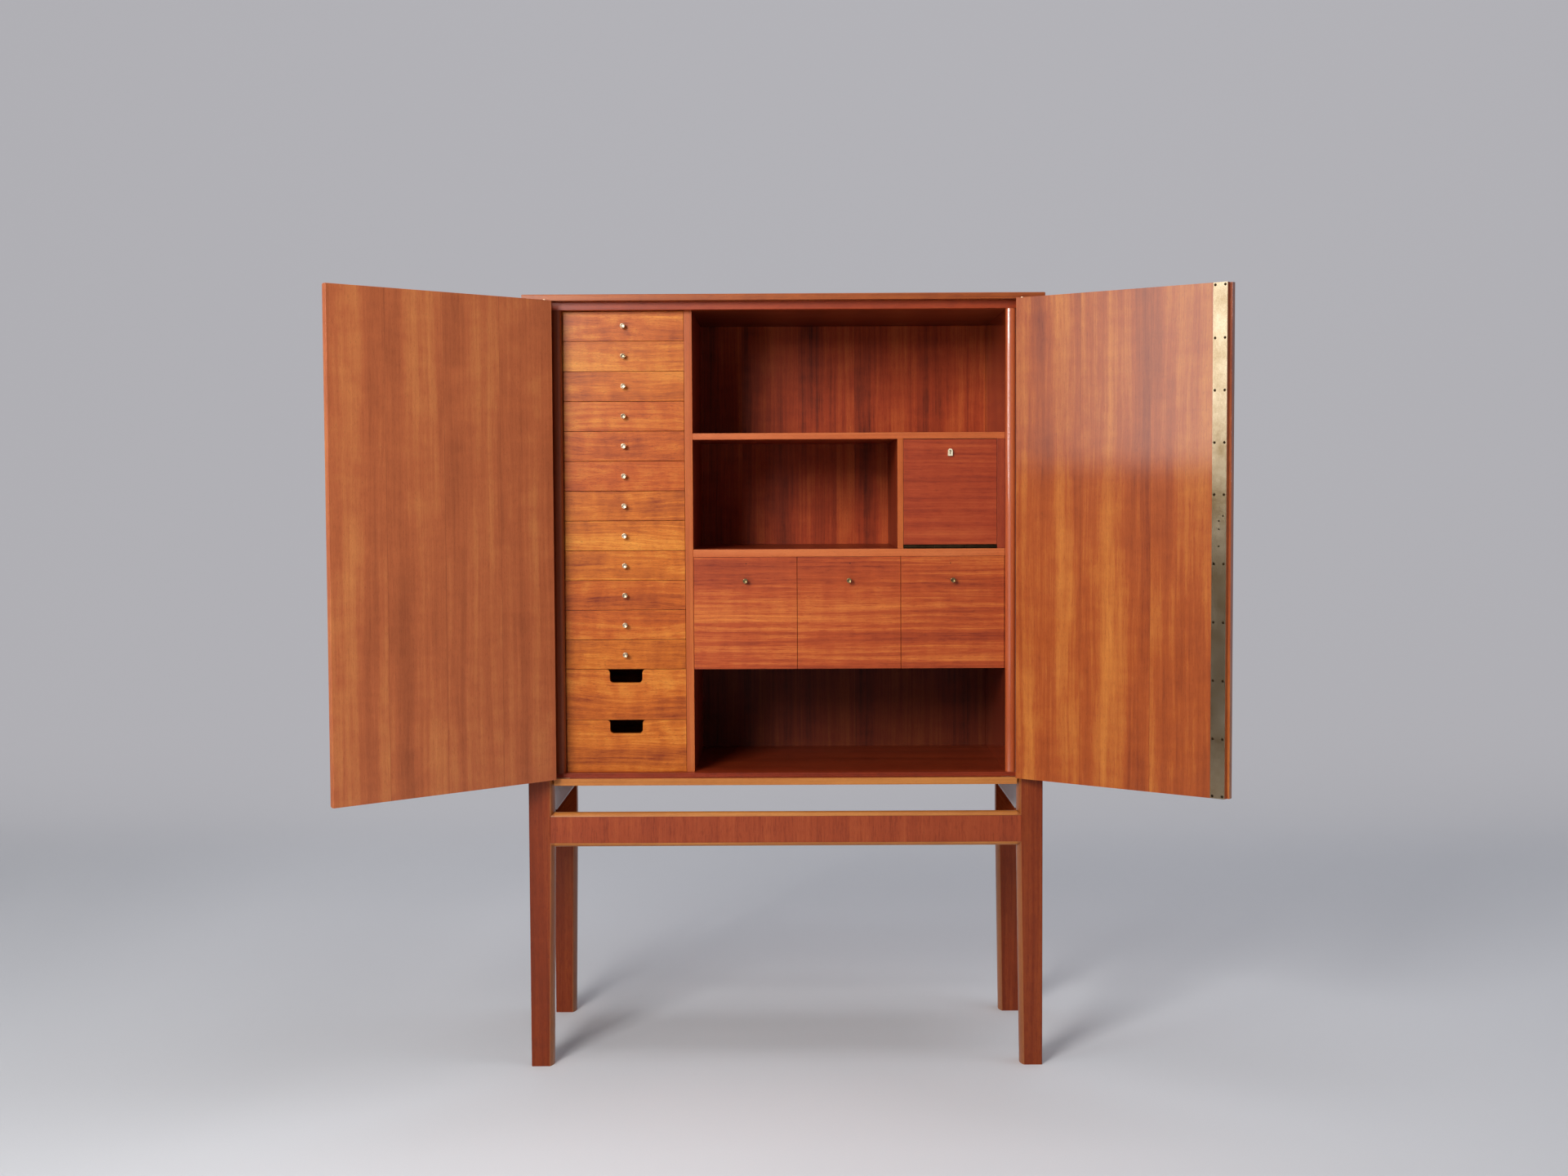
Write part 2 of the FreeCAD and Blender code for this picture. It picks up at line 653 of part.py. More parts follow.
def leg_lipping(name, sign, front):
    """A lipping of the full height. Its section is closed by an arc on the inner side, padded up
    from the knee of the leg, and padded down along the taper."""
    body = doc.addObject("PartDesign::Body", name)
    sketch = body.newObject("Sketcher::SketchObject", name + "_section")
    face = [f for f in body.Origin.OriginFeatures if f.Role == "XY_Plane"][0]
    sketch.AttachmentSupport = [(face, "")]
    sketch.MapMode = "FlatFace"
    outer = f"{sign} * post_in"
    centre = f"{sign} * (post_in - lipping_thick + lipping_arc)"
    radius, depth = size("lipping_arc"), size("post_depth")
    half = depth / 2
    inner = size(centre) - sign * math.sqrt(radius**2 - half**2)
    spread = math.asin(half / radius)
    middle = math.pi if sign > 0 else 0
    corners = [
        FreeCAD.Vector(inner, 0, 0),
        FreeCAD.Vector(size(outer), 0, 0),
        FreeCAD.Vector(size(outer), depth, 0),
        FreeCAD.Vector(inner, depth, 0),
    ]
    for number in range(3):
        sketch.addGeometry(Part.LineSegment(corners[number], corners[number + 1]))
    circle = Part.Circle(FreeCAD.Vector(size(centre), half, 0), FreeCAD.Vector(0, 0, 1), radius)
    arc = sketch.addGeometry(Part.ArcOfCircle(circle, middle - spread, middle + spread))
    first, last = (2, 1) if sign > 0 else (1, 2)
    for pair in ((0, 2, 1, 1), (1, 2, 2, 1), (0, 1, arc, first), (2, 2, arc, last)):
        sketch.addConstraint(Sketcher.Constraint("Coincident", *pair))
    ties = (
        ("DistanceX", 0, 2, outer),
        ("DistanceY", 0, 2, "0"),
        ("DistanceX", 2, 1, outer),
        ("DistanceY", 2, 1, "post_depth"),
        ("DistanceY", 0, 1, "0"),
        ("DistanceY", 2, 2, "post_depth"),
        ("DistanceX", arc, 3, centre),
        ("DistanceY", arc, 3, "post_depth / 2"),
    )
    for number, (kind, edge, point, text) in enumerate(ties):
        tie = sketch.addConstraint(Sketcher.Constraint(kind, -1, 1, edge, point, size(text)))
        sketch.renameConstraint(tie, f"tie_{number}")
        bind(sketch, f"Constraints.tie_{number}", text)
    tie = sketch.addConstraint(Sketcher.Constraint("Radius", arc, radius))
    sketch.renameConstraint(tie, "arc_radius")
    bind(sketch, "Constraints.arc_radius", "lipping_arc")
    upper = body.newObject("PartDesign::Pad", name + "_upper")
    upper.Profile = sketch
    bind(upper, "Length", "top_under - knee")
    lower = body.newObject("PartDesign::Pad", name + "_lower")
    lower.Profile = sketch
    lower.UseCustomVector = True
    lower.Direction = FreeCAD.Vector(sign, 0, -1)
    bind(lower, "Direction.x", f"{sign} * foot_taper / knee")
    lower.AlongSketchNormal = True
    bind(lower, "Length", "knee")
    body.Tip = lower
    return place(body, "0", front, "knee")


lippings = []
for sign, hand in HANDS:
    for front, end in (("0", "front"), ("frame_depth - post_depth", "back")):
        strip = leg_lipping(f"{hand}_{end}_lipping", sign, front)
        if end == "front":
            mitre = prism(
                f"{hand}_mitre",
                "XZ",
                mirrored(sign, [
                    ("post_in", "knee"),
                    ("post_in", "stretcher_top - lipping_thick"),
                    ("post_in - lipping_thick - overrun", "stretcher_top + overrun"),
                    ("post_in - lipping_thick - overrun", "stretcher_base - overrun"),
                ]),
                "stretcher_setback + stretcher_thick + slide_gap + overrun",
                ("0", "0 - overrun", "0"),
            )
            doorway = box(
                f"{hand}_doorway",
                side(sign, ("post_in - lipping_thick - overrun", "post_in + overrun")),
                ("0 - overrun", "stop_setback"),
                ("lip_top", "top_under + overrun"),
            )
            strip = cut(f"{hand}_front_lipping_cut", strip, [mitre, doorway, plates[sign + 2]])
        lippings.append(strip)

for name, base, high, low in (
    ("top_edge", "stretcher_top", "0", "0 - lipping_thick"),
    ("low_edge", "stretcher_base", "0", "lipping_thick"),
):
    blank = prism(
        name + "_blank",
        "XZ",
        [
            ("0 - post_in", f"{base} + {low}"),
            ("post_in", f"{base} + {low}"),
            ("post_in - lipping_thick", f"{base} + {high}"),
            ("lipping_thick - post_in", f"{base} + {high}"),
        ],
        "stretcher_thick",
        ("0", "stretcher_setback", "0"),
    )
    sign = -1 if name == "top_edge" else 1
    start = (
        "0 - post_in - overrun",
        "stretcher_setback + stretcher_thick / 2",
        f"{base} + {sign} * stretcher_arc",
    )
    arc = rod(name + "_arc", "stretcher_arc", "2 * post_in + 2 * overrun", start, axis="X")
    edge = doc.addObject("Part::MultiCommon", name)
    edge.Shapes = [blank, arc]
    lippings.append(edge)
node(group("all_lippings", lippings), "frame_lippings")

rails = [
    box(
        "front_rail",
        ("0 - post_in", "post_in"),
        ("stretcher_setback", "stretcher_setback + stretcher_thick"),
        ("knee", "stretcher_top - lipping_thick"),
    )
]
for sign, hand in HANDS:
    rails.append(
        box(
            f"{hand}_rail",
            side(sign, ("post_in - lipping_thick", "post_out - stretcher_setback")),
            ("post_depth", "frame_depth - post_depth"),
            ("stretcher_base", "stretcher_top"),
        )
    )
node(group("all_rails", rails), "stretchers")

# Drawers. Every drawer is a front, two sides, a back and a bottom. The shallow ones and the trays
# slide on battens, the deep ones on the lower shelf.

def turned_knob(name, x, z):
    """A turned knob: a short cylindrical head on a thinner neck."""
    body = doc.addObject("PartDesign::Body", name)
    sketch = outline(body, "XY", [
        ("0", "0"),
        ("knob_neck_radius", "0"),
        ("knob_neck_radius", "knob_head_length - knob_length"),
        ("knob_head_radius", "knob_head_length - knob_length"),
        ("knob_head_radius", "0 - knob_length"),
        ("0", "0 - knob_length"),
    ])
    turning = body.newObject("PartDesign::Revolution", name + "_turning")
    turning.Profile = sketch
    turning.ReferenceAxis = (sketch, ["V_Axis"])
    turning.Angle = 360
    body.Tip = turning
    return place(body, x, "front_setback", z)


def drawer_box(name, x, z):
    """Two sides, a back and a bottom between two X formulas, from the sides' lower to their
    upper edge."""
    start = "fronts_back"
    end = "front_setback + drawer_length"
    left, right = x
    base, top = z
    floor = f"{base} + bottom_lift"
    floor_top = f"{floor} + drawer_bottom_thick"
    inside = (f"{left} + drawer_side_thick", f"{right} - drawer_side_thick")
    return [
        box(name + "_left", (left, inside[0]), (start, end), z),
        box(name + "_right", (inside[1], right), (start, end), z),
        box(name + "_bottom", inside, (start, end), (floor, floor_top)),
        box(name + "_back", inside, (f"{end} - drawer_side_thick", end), (floor_top, top)),
    ]


def runners(name, base):
    """The pair of battens under one drawer of the bank."""
    walls = (
        ("0 - inner_side", "runner_width - inner_side"),
        ("divider_left - runner_width", "divider_left"),
    )
    z = (base, f"{base} + runner_height")
    return [box(f"{name}_runner_{number}", x, BEHIND_FRONTS, z) for number, x in enumerate(walls, start=1)]


BANK = ("side_gap - inner_side", "divider_left - side_gap")
FRONT_DEPTH = ("front_setback", "fronts_back")
battens = []
for number in range(1, SMALL_DRAWERS + 1):
    name = f"small_drawer_{number:02d}"
    base = f"case_top - {number} * small_pitch"
    top = f"{base} + small_front_height"
    face = box(name + "_front", BANK, FRONT_DEPTH, (base, top))
    rest = drawer_box(name, BANK, (f"{base} + runner_height + slide_gap", f"{top} - drawer_headroom"))
    node(group(name, [face, *rest]), f"drawer_{number:02d}")
    knob = turned_knob(f"knob_turned_{number:02d}", "bank_middle", f"{base} + small_front_height / 2")
    node(knob, f"knob_{number:02d}")
    battens += runners(name, base)


def tray_front(name, base, top):
    """A front with a finger cut-out in its upper edge: rounded shoulders, rounded corners."""
    left, right = BANK
    half = "cutout_width / 2"
    body = prism(
        name,
        "XZ",
        [
            (left, base),
            (right, base),
            (right, top),
            (f"bank_middle + {half}", top),
            (f"bank_middle + {half}", f"{top} - cutout_depth"),
            (f"bank_middle - {half}", f"{top} - cutout_depth"),
            (f"bank_middle - {half}", top),
            (left, top),
        ],
        "front_thick",
        ("0", "front_setback", "0"),
    )

    def at_cutout(a, b, height):
        beside = all(near(abs(end.x - size("bank_middle")), half) for end in (a, b))
        return along_y(a, b) and beside and near(a.z, height)
    round_edges(body, "cutout_round", lambda a, b: at_cutout(a, b, f"{top} - cutout_depth"))
    return round_edges(body, "(cutout_mouth - cutout_width) / 2", lambda a, b: at_cutout(a, b, top))


tray_split = f"case_top - {SMALL_DRAWERS} * small_pitch"
for name, base, top in (
    ("upper_tray", f"{tray_split} - front_gap - tray_front_height", f"{tray_split} - front_gap"),
    ("lower_tray", "floor_top + slide_gap", f"{tray_split} - 2 * front_gap - tray_front_height"),
):
    face = tray_front(name + "_front", base, top)
    sides_z = (f"{base} + runner_height + slide_gap", f"{top} - cutout_depth - drawer_headroom")
    node(group(name + "_group", [face, *drawer_box(name, BANK, sides_z)]), name)
    battens += runners(name, base)

for number in range(1, DEEP_DRAWERS + 1):
    name = f"deep_drawer_{number}"
    start = f"divider_right + {number - 1} * deep_pitch"
    end = f"divider_right + {number} * deep_pitch"
    left = inner_left = f"{start} + side_gap"
    right = inner_right = f"{end} - side_gap"
    if number > 1:
        left = f"{start} + front_gap / 2"
        inner_left = f"{start} + partition_thick / 2 + side_gap"
    if number < DEEP_DRAWERS:
        right = f"{end} - front_gap / 2"
        inner_right = f"{end} - partition_thick / 2 - side_gap"
    face = box(name + "_front", (left, right), FRONT_DEPTH, ("deep_base", "deep_top"))
    sides_z = ("lower_top + slide_gap", "deep_top - drawer_headroom")
    node(group(name + "_group", [face, *drawer_box(name, (inner_left, inner_right), sides_z)]), name)
    middle = f"{start} + deep_pitch / 2"
    knob = turned_knob(f"deep_knob_turned_{number}", middle, "deep_top - deep_knob_drop")
    node(knob, f"deep_knob_{number}")

# Doors. Each is drawn in its own frame: the pivot axis is Z, the closed door lies along X. The
# meeting edges are rebated, the left door's inner lip behind the right door's outer lip.

def keyway(name, x, y, z, door=False):
    """A keyhole cutter: a round bore with a slot under it."""
    bore = rod(name + "_bore", "keyhole_radius", f"({y[1]}) - ({y[0]})", (x, y[0], z), axis="Y", door=door)
    slot = box(
        name + "_slot",
        (f"{x} - keyhole_slot / 2", f"{x} + keyhole_slot / 2"),
        y,
        (f"{z} - keyhole_radius - keyhole_drop", z),
        door,
    )
    return fuse(name, [bore, slot])


def escutcheon(name, x, y, z, hole, door=False):
    """A keyhole plate, round above and straight below, around the round part of the keyhole."""
    radius = "escutcheon_width / 2"
    crown = rod(name + "_crown", radius, f"({y[1]}) - ({y[0]})", (x, y[0], z), axis="Y", door=door)
    skirt = box(
        name + "_skirt",
        (f"{x} - {radius}", f"{x} + {radius}"),
        y,
        (f"{z} + {radius} - escutcheon_height", z),
        door,
    )
    return cut(name + "_pierced", fuse(name, [crown, skirt]), [hole])


def door_blank(name, sign, corners, sharp):
    """A door from an outline seen from above, its upright edges eased but for those at the
    formulas in sharp."""
    seen_above = mirrored(sign, corners)
    body = prism(name, "XY", seen_above, "door_top - door_base", ("0", "0", "door_base"), door=True)

    def eased(a, b):
        return upright(a, b) and not any(near(-sign * a.x, u) and near(a.y, v) for u, v in sharp)
    return round_edges(body, "door_round", eased)


right_leaves = [
    pivot_leaf("right_upper_leaf", 1, UPPER_LEAF),
    pivot_leaf("right_lower_leaf", 1, LOWER_LEAF),
]
left_leaves = [
    pivot_leaf("left_upper_leaf", -1, UPPER_LEAF),
    pivot_leaf("left_lower_leaf", -1, LOWER_LEAF),
]

left_blank = door_blank(
    "left_blank",
    -1,
    [
        ("door_end", "door_outer"),
        ("door_end", "door_inner"),
        ("0 - left_inner_width", "door_inner"),
        ("0 - left_inner_width", "door_inner - lap_thick"),
        ("0 - left_outer_width", "door_inner - lap_thick"),
        ("0 - left_outer_width", "door_outer"),
    ],
    [("left_outer_width", "door_inner - lap_thick")],
)
node(hang(group("left_door_leaf", [cut("left_cut", left_blank, left_leaves)]), -1), "left_door")
node(hang(group("left_leaves", left_leaves), -1), "left_door_pivots")

right_blank = door_blank(
    "right_blank",
    1,
    [
        ("door_end", "door_outer"),
        ("door_end", "door_inner"),
        ("0 - right_inner_width", "door_inner"),
        ("0 - right_inner_width", "door_inner - lap_thick - lap_gap"),
        ("0 - right_outer_width", "door_inner - lap_thick - lap_gap"),
        ("0 - right_outer_width", "door_outer"),
    ],
    [
        ("right_inner_width", "door_inner - lap_thick - lap_gap"),
        ("right_inner_width", "door_inner"),
    ],
)
STRIP = ("0 - right_inner_width", "strip_width - right_inner_width")
DOOR_HEIGHT = ("door_base", "door_top")
strip_blank = box("strip_blank", STRIP, ("door_inner - strip_thick", "door_inner"), DOOR_HEIGHT, door=True)
rod_groove = box(
    "rod_groove",
    ("rod_middle - rod_width / 2 - rod_play", "rod_middle + rod_width / 2 + rod_play"),
    ("rod_back - rod_thick - rod_play", "door_inner"),
    ("door_base - overrun", "door_top + overrun"),
    door=True,
)
LOCK_TOP = "lock_height + lock_case_length / 2"
LOCK_BASE = "lock_height - lock_case_length / 2"
LOCK_FACE = "door_inner - strip_thick - lock_case_thick"
lock_blank = box(
    "lock_blank",
    ("rod_middle - lock_case_width / 2", "rod_middle + lock_case_width / 2"),
    (LOCK_FACE, "door_inner - strip_thick"),
    (LOCK_BASE, LOCK_TOP),
    door=True,
)
KEY_DEPTH = ("door_outer - escutcheon_flat - overrun", LOCK_FACE)
key_cut = keyway("door_keyway", "rod_middle", KEY_DEPTH, "lock_height", door=True)


def nail(name, x, z):
    """A square nail through the strip, its head a little proud."""
    return box(
        name,
        (f"{x} - nail_width / 2", f"{x} + nail_width / 2"),
        ("door_inner - nail_length", "door_inner + nail_proud"),
        (f"{z} - nail_width / 2", f"{z} + nail_width / 2"),
        door=True,
    )


nail_rows = ["door_base + nail_edge", "door_top - nail_edge"]
for row in range(NAIL_ROWS):
    nail_rows.append(f"door_base + nail_low_end + {row} * nail_low_pitch")
    nail_rows.append(f"door_top - nail_high_end - {row} * nail_high_pitch")
nails = []
for row, z in enumerate(nail_rows):
    nails.append(nail(f"nail_{row}_outer", f"{STRIP[0]} + nail_edge", z))
    nails.append(nail(f"nail_{row}_inner", f"{STRIP[1]} - nail_edge", z))
for name, x, z in (
    ("lock_nail_1", "rod_middle - lock_nail_side", "lock_height + lock_nail_high"),
    ("lock_nail_2", "rod_middle", "lock_height + lock_nail_upper"),
    ("lock_nail_3", "rod_middle", "lock_height + lock_nail_middle"),
    ("lock_nail_4", "rod_middle", "lock_height - lock_nail_low"),
):
    nails.append(nail(name, x, z))
all_nails = group("all_nails", nails)
strip = cut("strip_cut", strip_blank, [all_nails])
lock = cut("lock_cut", lock_blank, [all_nails])
right_tools = [*right_leaves, strip_blank, rod_groove, lock_blank, key_cut, all_nails]
right_cut = cut("right_cut", right_blank, right_tools)
node(hang(group("nails_in_strip", [all_nails]), 1), "strip_nails")
node(hang(group("strip_and_lock", [strip, lock]), 1), "closing_strip")
node(hang(group("right_door_leaf", [right_cut]), 1), "right_door")
node(hang(group("right_leaves", right_leaves), 1), "right_door_pivots")
door_plate = escutcheon(
    "door_plate",
    "rod_middle",
    ("door_outer - escutcheon_flat", "door_outer"),
    "lock_height",
    key_cut,
    door=True,
)
node(hang(group("door_plate_group", [door_plate]), 1), "door_escutcheon")
ROD = ("rod_middle - rod_width / 2", "rod_middle + rod_width / 2")
for name, z in (
    ("upper_rod", (f"{LOCK_TOP} + slide_gap", "door_top - rod_inset")),
    ("lower_rod", ("door_base + rod_inset", f"{LOCK_BASE} - slide_gap")),
):
    bar = box(name + "_bar", ROD, ("rod_back - rod_thick", "rod_back"), z, door=True)
    node(hang(group(name + "_group", [bar]), 1), name)

# Drop flap, flush with the drawer fronts. It hangs on a long knuckle hinge at its lower edge and is
# locked by a bolt that rises into the shelf above.

flap_hole = keyway(
    "flap_keyway",
    "flap_middle",
    ("flap_face - escutcheon_reach - overrun", "flap_face + flap_thick / 2"),
    "flap_key",
)
BOLT_TOP = "flap_top - bolt_inset"
bolt_room = box(
    "bolt_room",
    BOLT_ROOM_X,
    BOLT_ROOM_Y,
    (f"{BOLT_TOP} - bolt_length - slide_gap", "flap_top + overrun"),
)
flap_board = box(
    "flap_board",
    ("flap_left + side_gap", "flap_right - side_gap"),
    ("flap_face", "flap_face + flap_thick"),
    ("flap_base", "flap_top"),
)
node(cut("flap_cut", flap_board, [bolt_room, flap_hole]), "flap")
node(
    box(
        "bolt",
        ("flap_middle - bolt_width / 2", "flap_middle + bolt_width / 2"),
        ("bolt_front", "bolt_behind"),
        (f"{BOLT_TOP} - bolt_length", BOLT_TOP),
    ),
    "flap_bolt",
)
FLAP_PLATE = ("flap_face - escutcheon_reach", "flap_face")
node(escutcheon("flap_plate", "flap_middle", FLAP_PLATE, "flap_key", flap_hole), "flap_escutcheon")

HINGE_START = "flap_left + 2 * side_gap"
HINGE_LENGTH = "(flap_width - 4 * side_gap)"
LEAF_Z = {
    "fixed": ("middle_top", "middle_top + leaf_thick"),
    "moving": ("flap_base - leaf_thick", "flap_base"),
}
halves = {"fixed": [], "moving": []}
for number in range(KNUCKLES):
    half = "fixed" if number % 2 == 0 else "moving"
    start = f"{HINGE_START} + {number} * {HINGE_LENGTH} / {KNUCKLES} + slide_gap / 2"
    length = f"{HINGE_LENGTH} / {KNUCKLES} - slide_gap"
    name = f"knuckle_{number}"
    arm_x = (start, f"{start} + {length}")
    arm_y = ("flap_face", "flap_face + leaf_start + slide_gap")
    halves[half].append(rod(name, "knuckle_radius", length, (start, "flap_face", "flap_axis"), axis="X"))
    halves[half].append(box(name + "_arm", arm_x, arm_y, LEAF_Z[half]))
for half in halves:
    leaf_x = (HINGE_START, f"{HINGE_START} + {HINGE_LENGTH}")
    leaf_y = ("flap_face + leaf_start", "flap_face + leaf_start + leaf_width")
    halves[half].append(box(half + "_leaf", leaf_x, leaf_y, LEAF_Z[half]))
pin_start = (HINGE_START, "flap_face", "flap_axis")
hinge_pin = rod("hinge_pin", "hinge_pin_radius", HINGE_LENGTH, pin_start, axis="X")
hinge_bore = rod(
    "hinge_bore",
    "hinge_pin_radius + slide_gap",
    f"{HINGE_LENGTH} + 2 * overrun",
    (f"{HINGE_START} - overrun", "flap_face", "flap_axis"),
    axis="X",
)
node(fuse("fixed_hinge", [*halves["fixed"], hinge_pin]), "flap_hinge_fixed")
node(cut("moving_hinge_bored", fuse("moving_hinge", halves["moving"]), [hinge_bore]), "flap_hinge_moving")

battens.append(
    box(
        "flap_batten",
        ("flap_left", "flap_right"),
        ("flap_face + flap_thick + slide_gap", "flap_face + flap_thick + slide_gap + batten_thick"),
        ("upper_under - batten_thick", "upper_under"),
    )
)
node(group("all_battens", battens), "battens")


def check(things):
    """Stop if an object failed, or if a piece has no valid solid."""
    for thing in doc.Objects:
        if "Invalid" in thing.State or "Error" in thing.State:
            raise RuntimeError("failed: " + thing.Name)
    for thing in things:
        if thing.Shape.isNull() or not thing.Shape.isValid() or not thing.Shape.Solids:
            raise RuntimeError("no valid solid: " + thing.Label)


doc.recompute()
check(nodes)
os.makedirs("parts", exist_ok=True)
for thing in nodes:
    thing.Shape.exportStep(f"parts/{thing.Label}.step")
print(len(nodes), "nodes")
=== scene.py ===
import math

import bpy
import numpy as np
from mathutils import Matrix, Vector


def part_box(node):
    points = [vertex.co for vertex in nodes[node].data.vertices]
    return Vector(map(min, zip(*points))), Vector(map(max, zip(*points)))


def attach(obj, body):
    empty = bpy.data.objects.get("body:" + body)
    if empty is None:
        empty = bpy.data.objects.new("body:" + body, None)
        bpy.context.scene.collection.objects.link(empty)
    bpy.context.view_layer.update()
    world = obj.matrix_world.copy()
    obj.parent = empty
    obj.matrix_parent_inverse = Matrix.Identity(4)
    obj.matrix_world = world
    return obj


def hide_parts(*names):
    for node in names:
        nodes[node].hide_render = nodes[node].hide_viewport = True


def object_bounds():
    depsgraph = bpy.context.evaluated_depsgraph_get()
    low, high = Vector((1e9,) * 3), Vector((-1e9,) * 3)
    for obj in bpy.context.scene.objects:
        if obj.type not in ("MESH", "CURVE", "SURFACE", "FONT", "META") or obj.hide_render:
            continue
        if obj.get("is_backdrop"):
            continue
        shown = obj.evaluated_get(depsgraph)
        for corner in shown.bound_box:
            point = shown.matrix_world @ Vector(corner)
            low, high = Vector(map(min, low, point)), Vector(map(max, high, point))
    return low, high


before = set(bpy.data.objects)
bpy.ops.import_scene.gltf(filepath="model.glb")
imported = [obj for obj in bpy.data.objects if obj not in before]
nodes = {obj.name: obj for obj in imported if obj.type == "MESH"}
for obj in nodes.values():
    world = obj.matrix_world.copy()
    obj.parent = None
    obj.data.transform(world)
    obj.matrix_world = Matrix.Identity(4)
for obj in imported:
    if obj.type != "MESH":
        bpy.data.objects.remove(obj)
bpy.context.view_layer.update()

# %% [markdown]
# A cabinet on legs, dressed for a studio photograph
#
# The frame gives every board in its true place, as a plain shape with sharp edges. This lesson gives
# the boards eased edges, lacquered veneer whose grain runs the way each board was cut, aged brass,
# and the light of a photo studio. Lengths are metres, X runs to the right, Y to the back and Z up.
# The drawer fronts lie in the plane Y = 0.

# %% [markdown]
# Colours and nodes
#
# A colour is easy to read off a screen, as an sRGB hex value, but light is reckoned with linear
# values, so one function turns the first into the second. Materials are built from shader nodes.
# One small function adds a node, sets it, links its inputs, and gives the output to carry on with.
# A Mix node for colours takes them as its inputs 6 and 7 and gives the result as its output 2.

# %% Colours and nodes
COLOUR_MIX = {"give": 2, "data_type": "RGBA"}


def linear(code):
    """#rrggbb to linear red, green, blue and alpha: a part p becomes p / 12.92 where it is dark, and
    ((p + 0.055) / 1.055) to the power of 2.4 elsewhere."""
    parts = [int(code[i:i + 2], 16) / 255 for i in (1, 3, 5)]
    return (*[p / 12.92 if p <= 0.04045 else ((p + 0.055) / 1.055) ** 2.4 for p in parts], 1.0)


def put(tree, value, socket):
    """Link the output of a node to an input, or set the input to a plain value."""
    if isinstance(value, bpy.types.NodeSocket):
        tree.links.new(value, socket)
    else:
        socket.default_value = value


def add(tree, kind, inputs=(), give=0, **settings):
    """Add a node and give one of its outputs, by number or name. A kind without Node in its name is a
    shader node. The inputs are values or outputs of other nodes, in the node's own order, or in a
    dictionary from numbers or names."""
    node = tree.nodes.new(kind if "Node" in kind else "ShaderNode" + kind)
    for key, value in settings.items():
        setattr(node, key, value)
    pairs = inputs.items() if isinstance(inputs, dict) else enumerate(inputs)
    for key, value in pairs:
        put(tree, value, node.inputs[key])
    return node.outputs[give]


def fresh(name):
    """A new material, its node tree, and the inputs of its shader."""
    material = bpy.data.materials.new(name)
    material.use_nodes = True
    tree = material.node_tree
    return material, tree, tree.nodes["Principled BSDF"].inputs


print("half grey on a screen is", round(linear("#808080")[0], 3), "of the light of white")

# %% [markdown]
# Patterns in millimetres
#
# Fibres, worn patches and the tooth of paper are all irregular, so all of them are made from noise.
# Blender's noise has grains about one unit wide. The place is stretched first, so that one unit of
# the noise is one real grain, and a pattern can be given by the size that a ruler would measure.

# %% Noise
MILLIMETRES = 1000.0


def noise(tree, place, size, detail=2.0, rough=0.5):
    """Noise whose grains measure about size = (x, y, z) in millimetres: the place in metres times
    1000 / size."""
    per_metre = tuple(MILLIMETRES / side for side in size)
    stretched = add(tree, "VectorMath", (place, per_metre), operation="MULTIPLY")
    inputs = {"Vector": stretched, "Scale": 1.0, "Detail": detail, "Roughness": rough}
    return add(tree, "TexNoise", inputs)


print("of grains 8 mm wide a metre holds", MILLIMETRES / 8)

# %% [markdown]
# Sliced mahogany
#
# The veneer is a reddish tropical wood, sliced into leaves. A photograph of wood would repeat and
# would fit one board only, so the figure is reckoned instead. One shader group holds its whole
# build-up: wide bands of tone, streaks a few millimetres wide, fine fibres, a cloudy figure across
# the grain, pale and dark clouds along it, dark flecks and short pores. The group reads a place
# whose Z runs along the grain, so every board only has to say how to turn its own coordinates.

# %% The wood group
WOOD_COLOURS = ("Dark", "Mid", "Light")
WOOD_AMOUNTS = ("Band", "Streak", "Figure", "Wave", "Curl", "Pore", "Cloud", "Fleck")
PORE_BROWN = "#1c0d06"
FLECK_RANGE = (0.33, 0.48)
PORE_RANGE = (0.30, 0.40)
SHEEN = (0.92, 1.05)


def swayed(tree, place, given):
    """The place with the grain wandering over a hand's length and curling over a finger's. The three
    numbers are how many grains of the noise a metre holds across, across and along."""
    for per_metre, amount in (((8.0, 8.0, 2.4), "Wave"), ((26.0, 26.0, 11.0), "Curl")):
        stretched = add(tree, "VectorMath", (place, per_metre), operation="MULTIPLY")
        sway = add(tree, "TexNoise", {"Vector": stretched, "Scale": 1.0, "Detail": 1.0}, "Color")
        aside = add(tree, "VectorMath", (sway, (0.5, 0.5, 0.5)), operation="SUBTRACT")
        aside = add(tree, "VectorMath", {0: aside, "Scale": given[amount]}, operation="SCALE")
        place = add(tree, "VectorMath", (place, aside), operation="ADD")
    return place


def wood_tone(tree, place, given):
    """Tone = 0.5 + band + streak + figure + fine + cloud - fleck, each but the last centred on zero.
    Fine fibres count a little under half as much as the streaks."""
    fine_amount = add(tree, "Math", (given["Streak"], 0.45), operation="MULTIPLY")
    layers = (
        (noise(tree, place, (48, 48, 1100)), given["Band"]),
        (noise(tree, place, (8, 8, 520), detail=4.0, rough=0.6), given["Streak"]),
        (noise(tree, place, (60, 60, 26), detail=3.0), given["Figure"]),
        (noise(tree, place, (1.5, 1.5, 110), detail=3.0, rough=0.6), fine_amount),
        (noise(tree, place, (70, 70, 210), detail=4.0, rough=0.55), given["Cloud"]),
    )
    tone = 0.5
    for layer, amount in layers:
        centred = add(tree, "Math", (layer, 0.5), operation="SUBTRACT")
        tone = add(tree, "Math", (centred, amount, tone), operation="MULTIPLY_ADD")
    fleck = add(tree, "MapRange", (noise(tree, place, (3, 3, 22)), *FLECK_RANGE, 1.0, 0.0))
    fleck = add(tree, "Math", (fleck, given["Fleck"]), operation="MULTIPLY")
    return add(tree, "Math", (tone, fleck), operation="SUBTRACT")


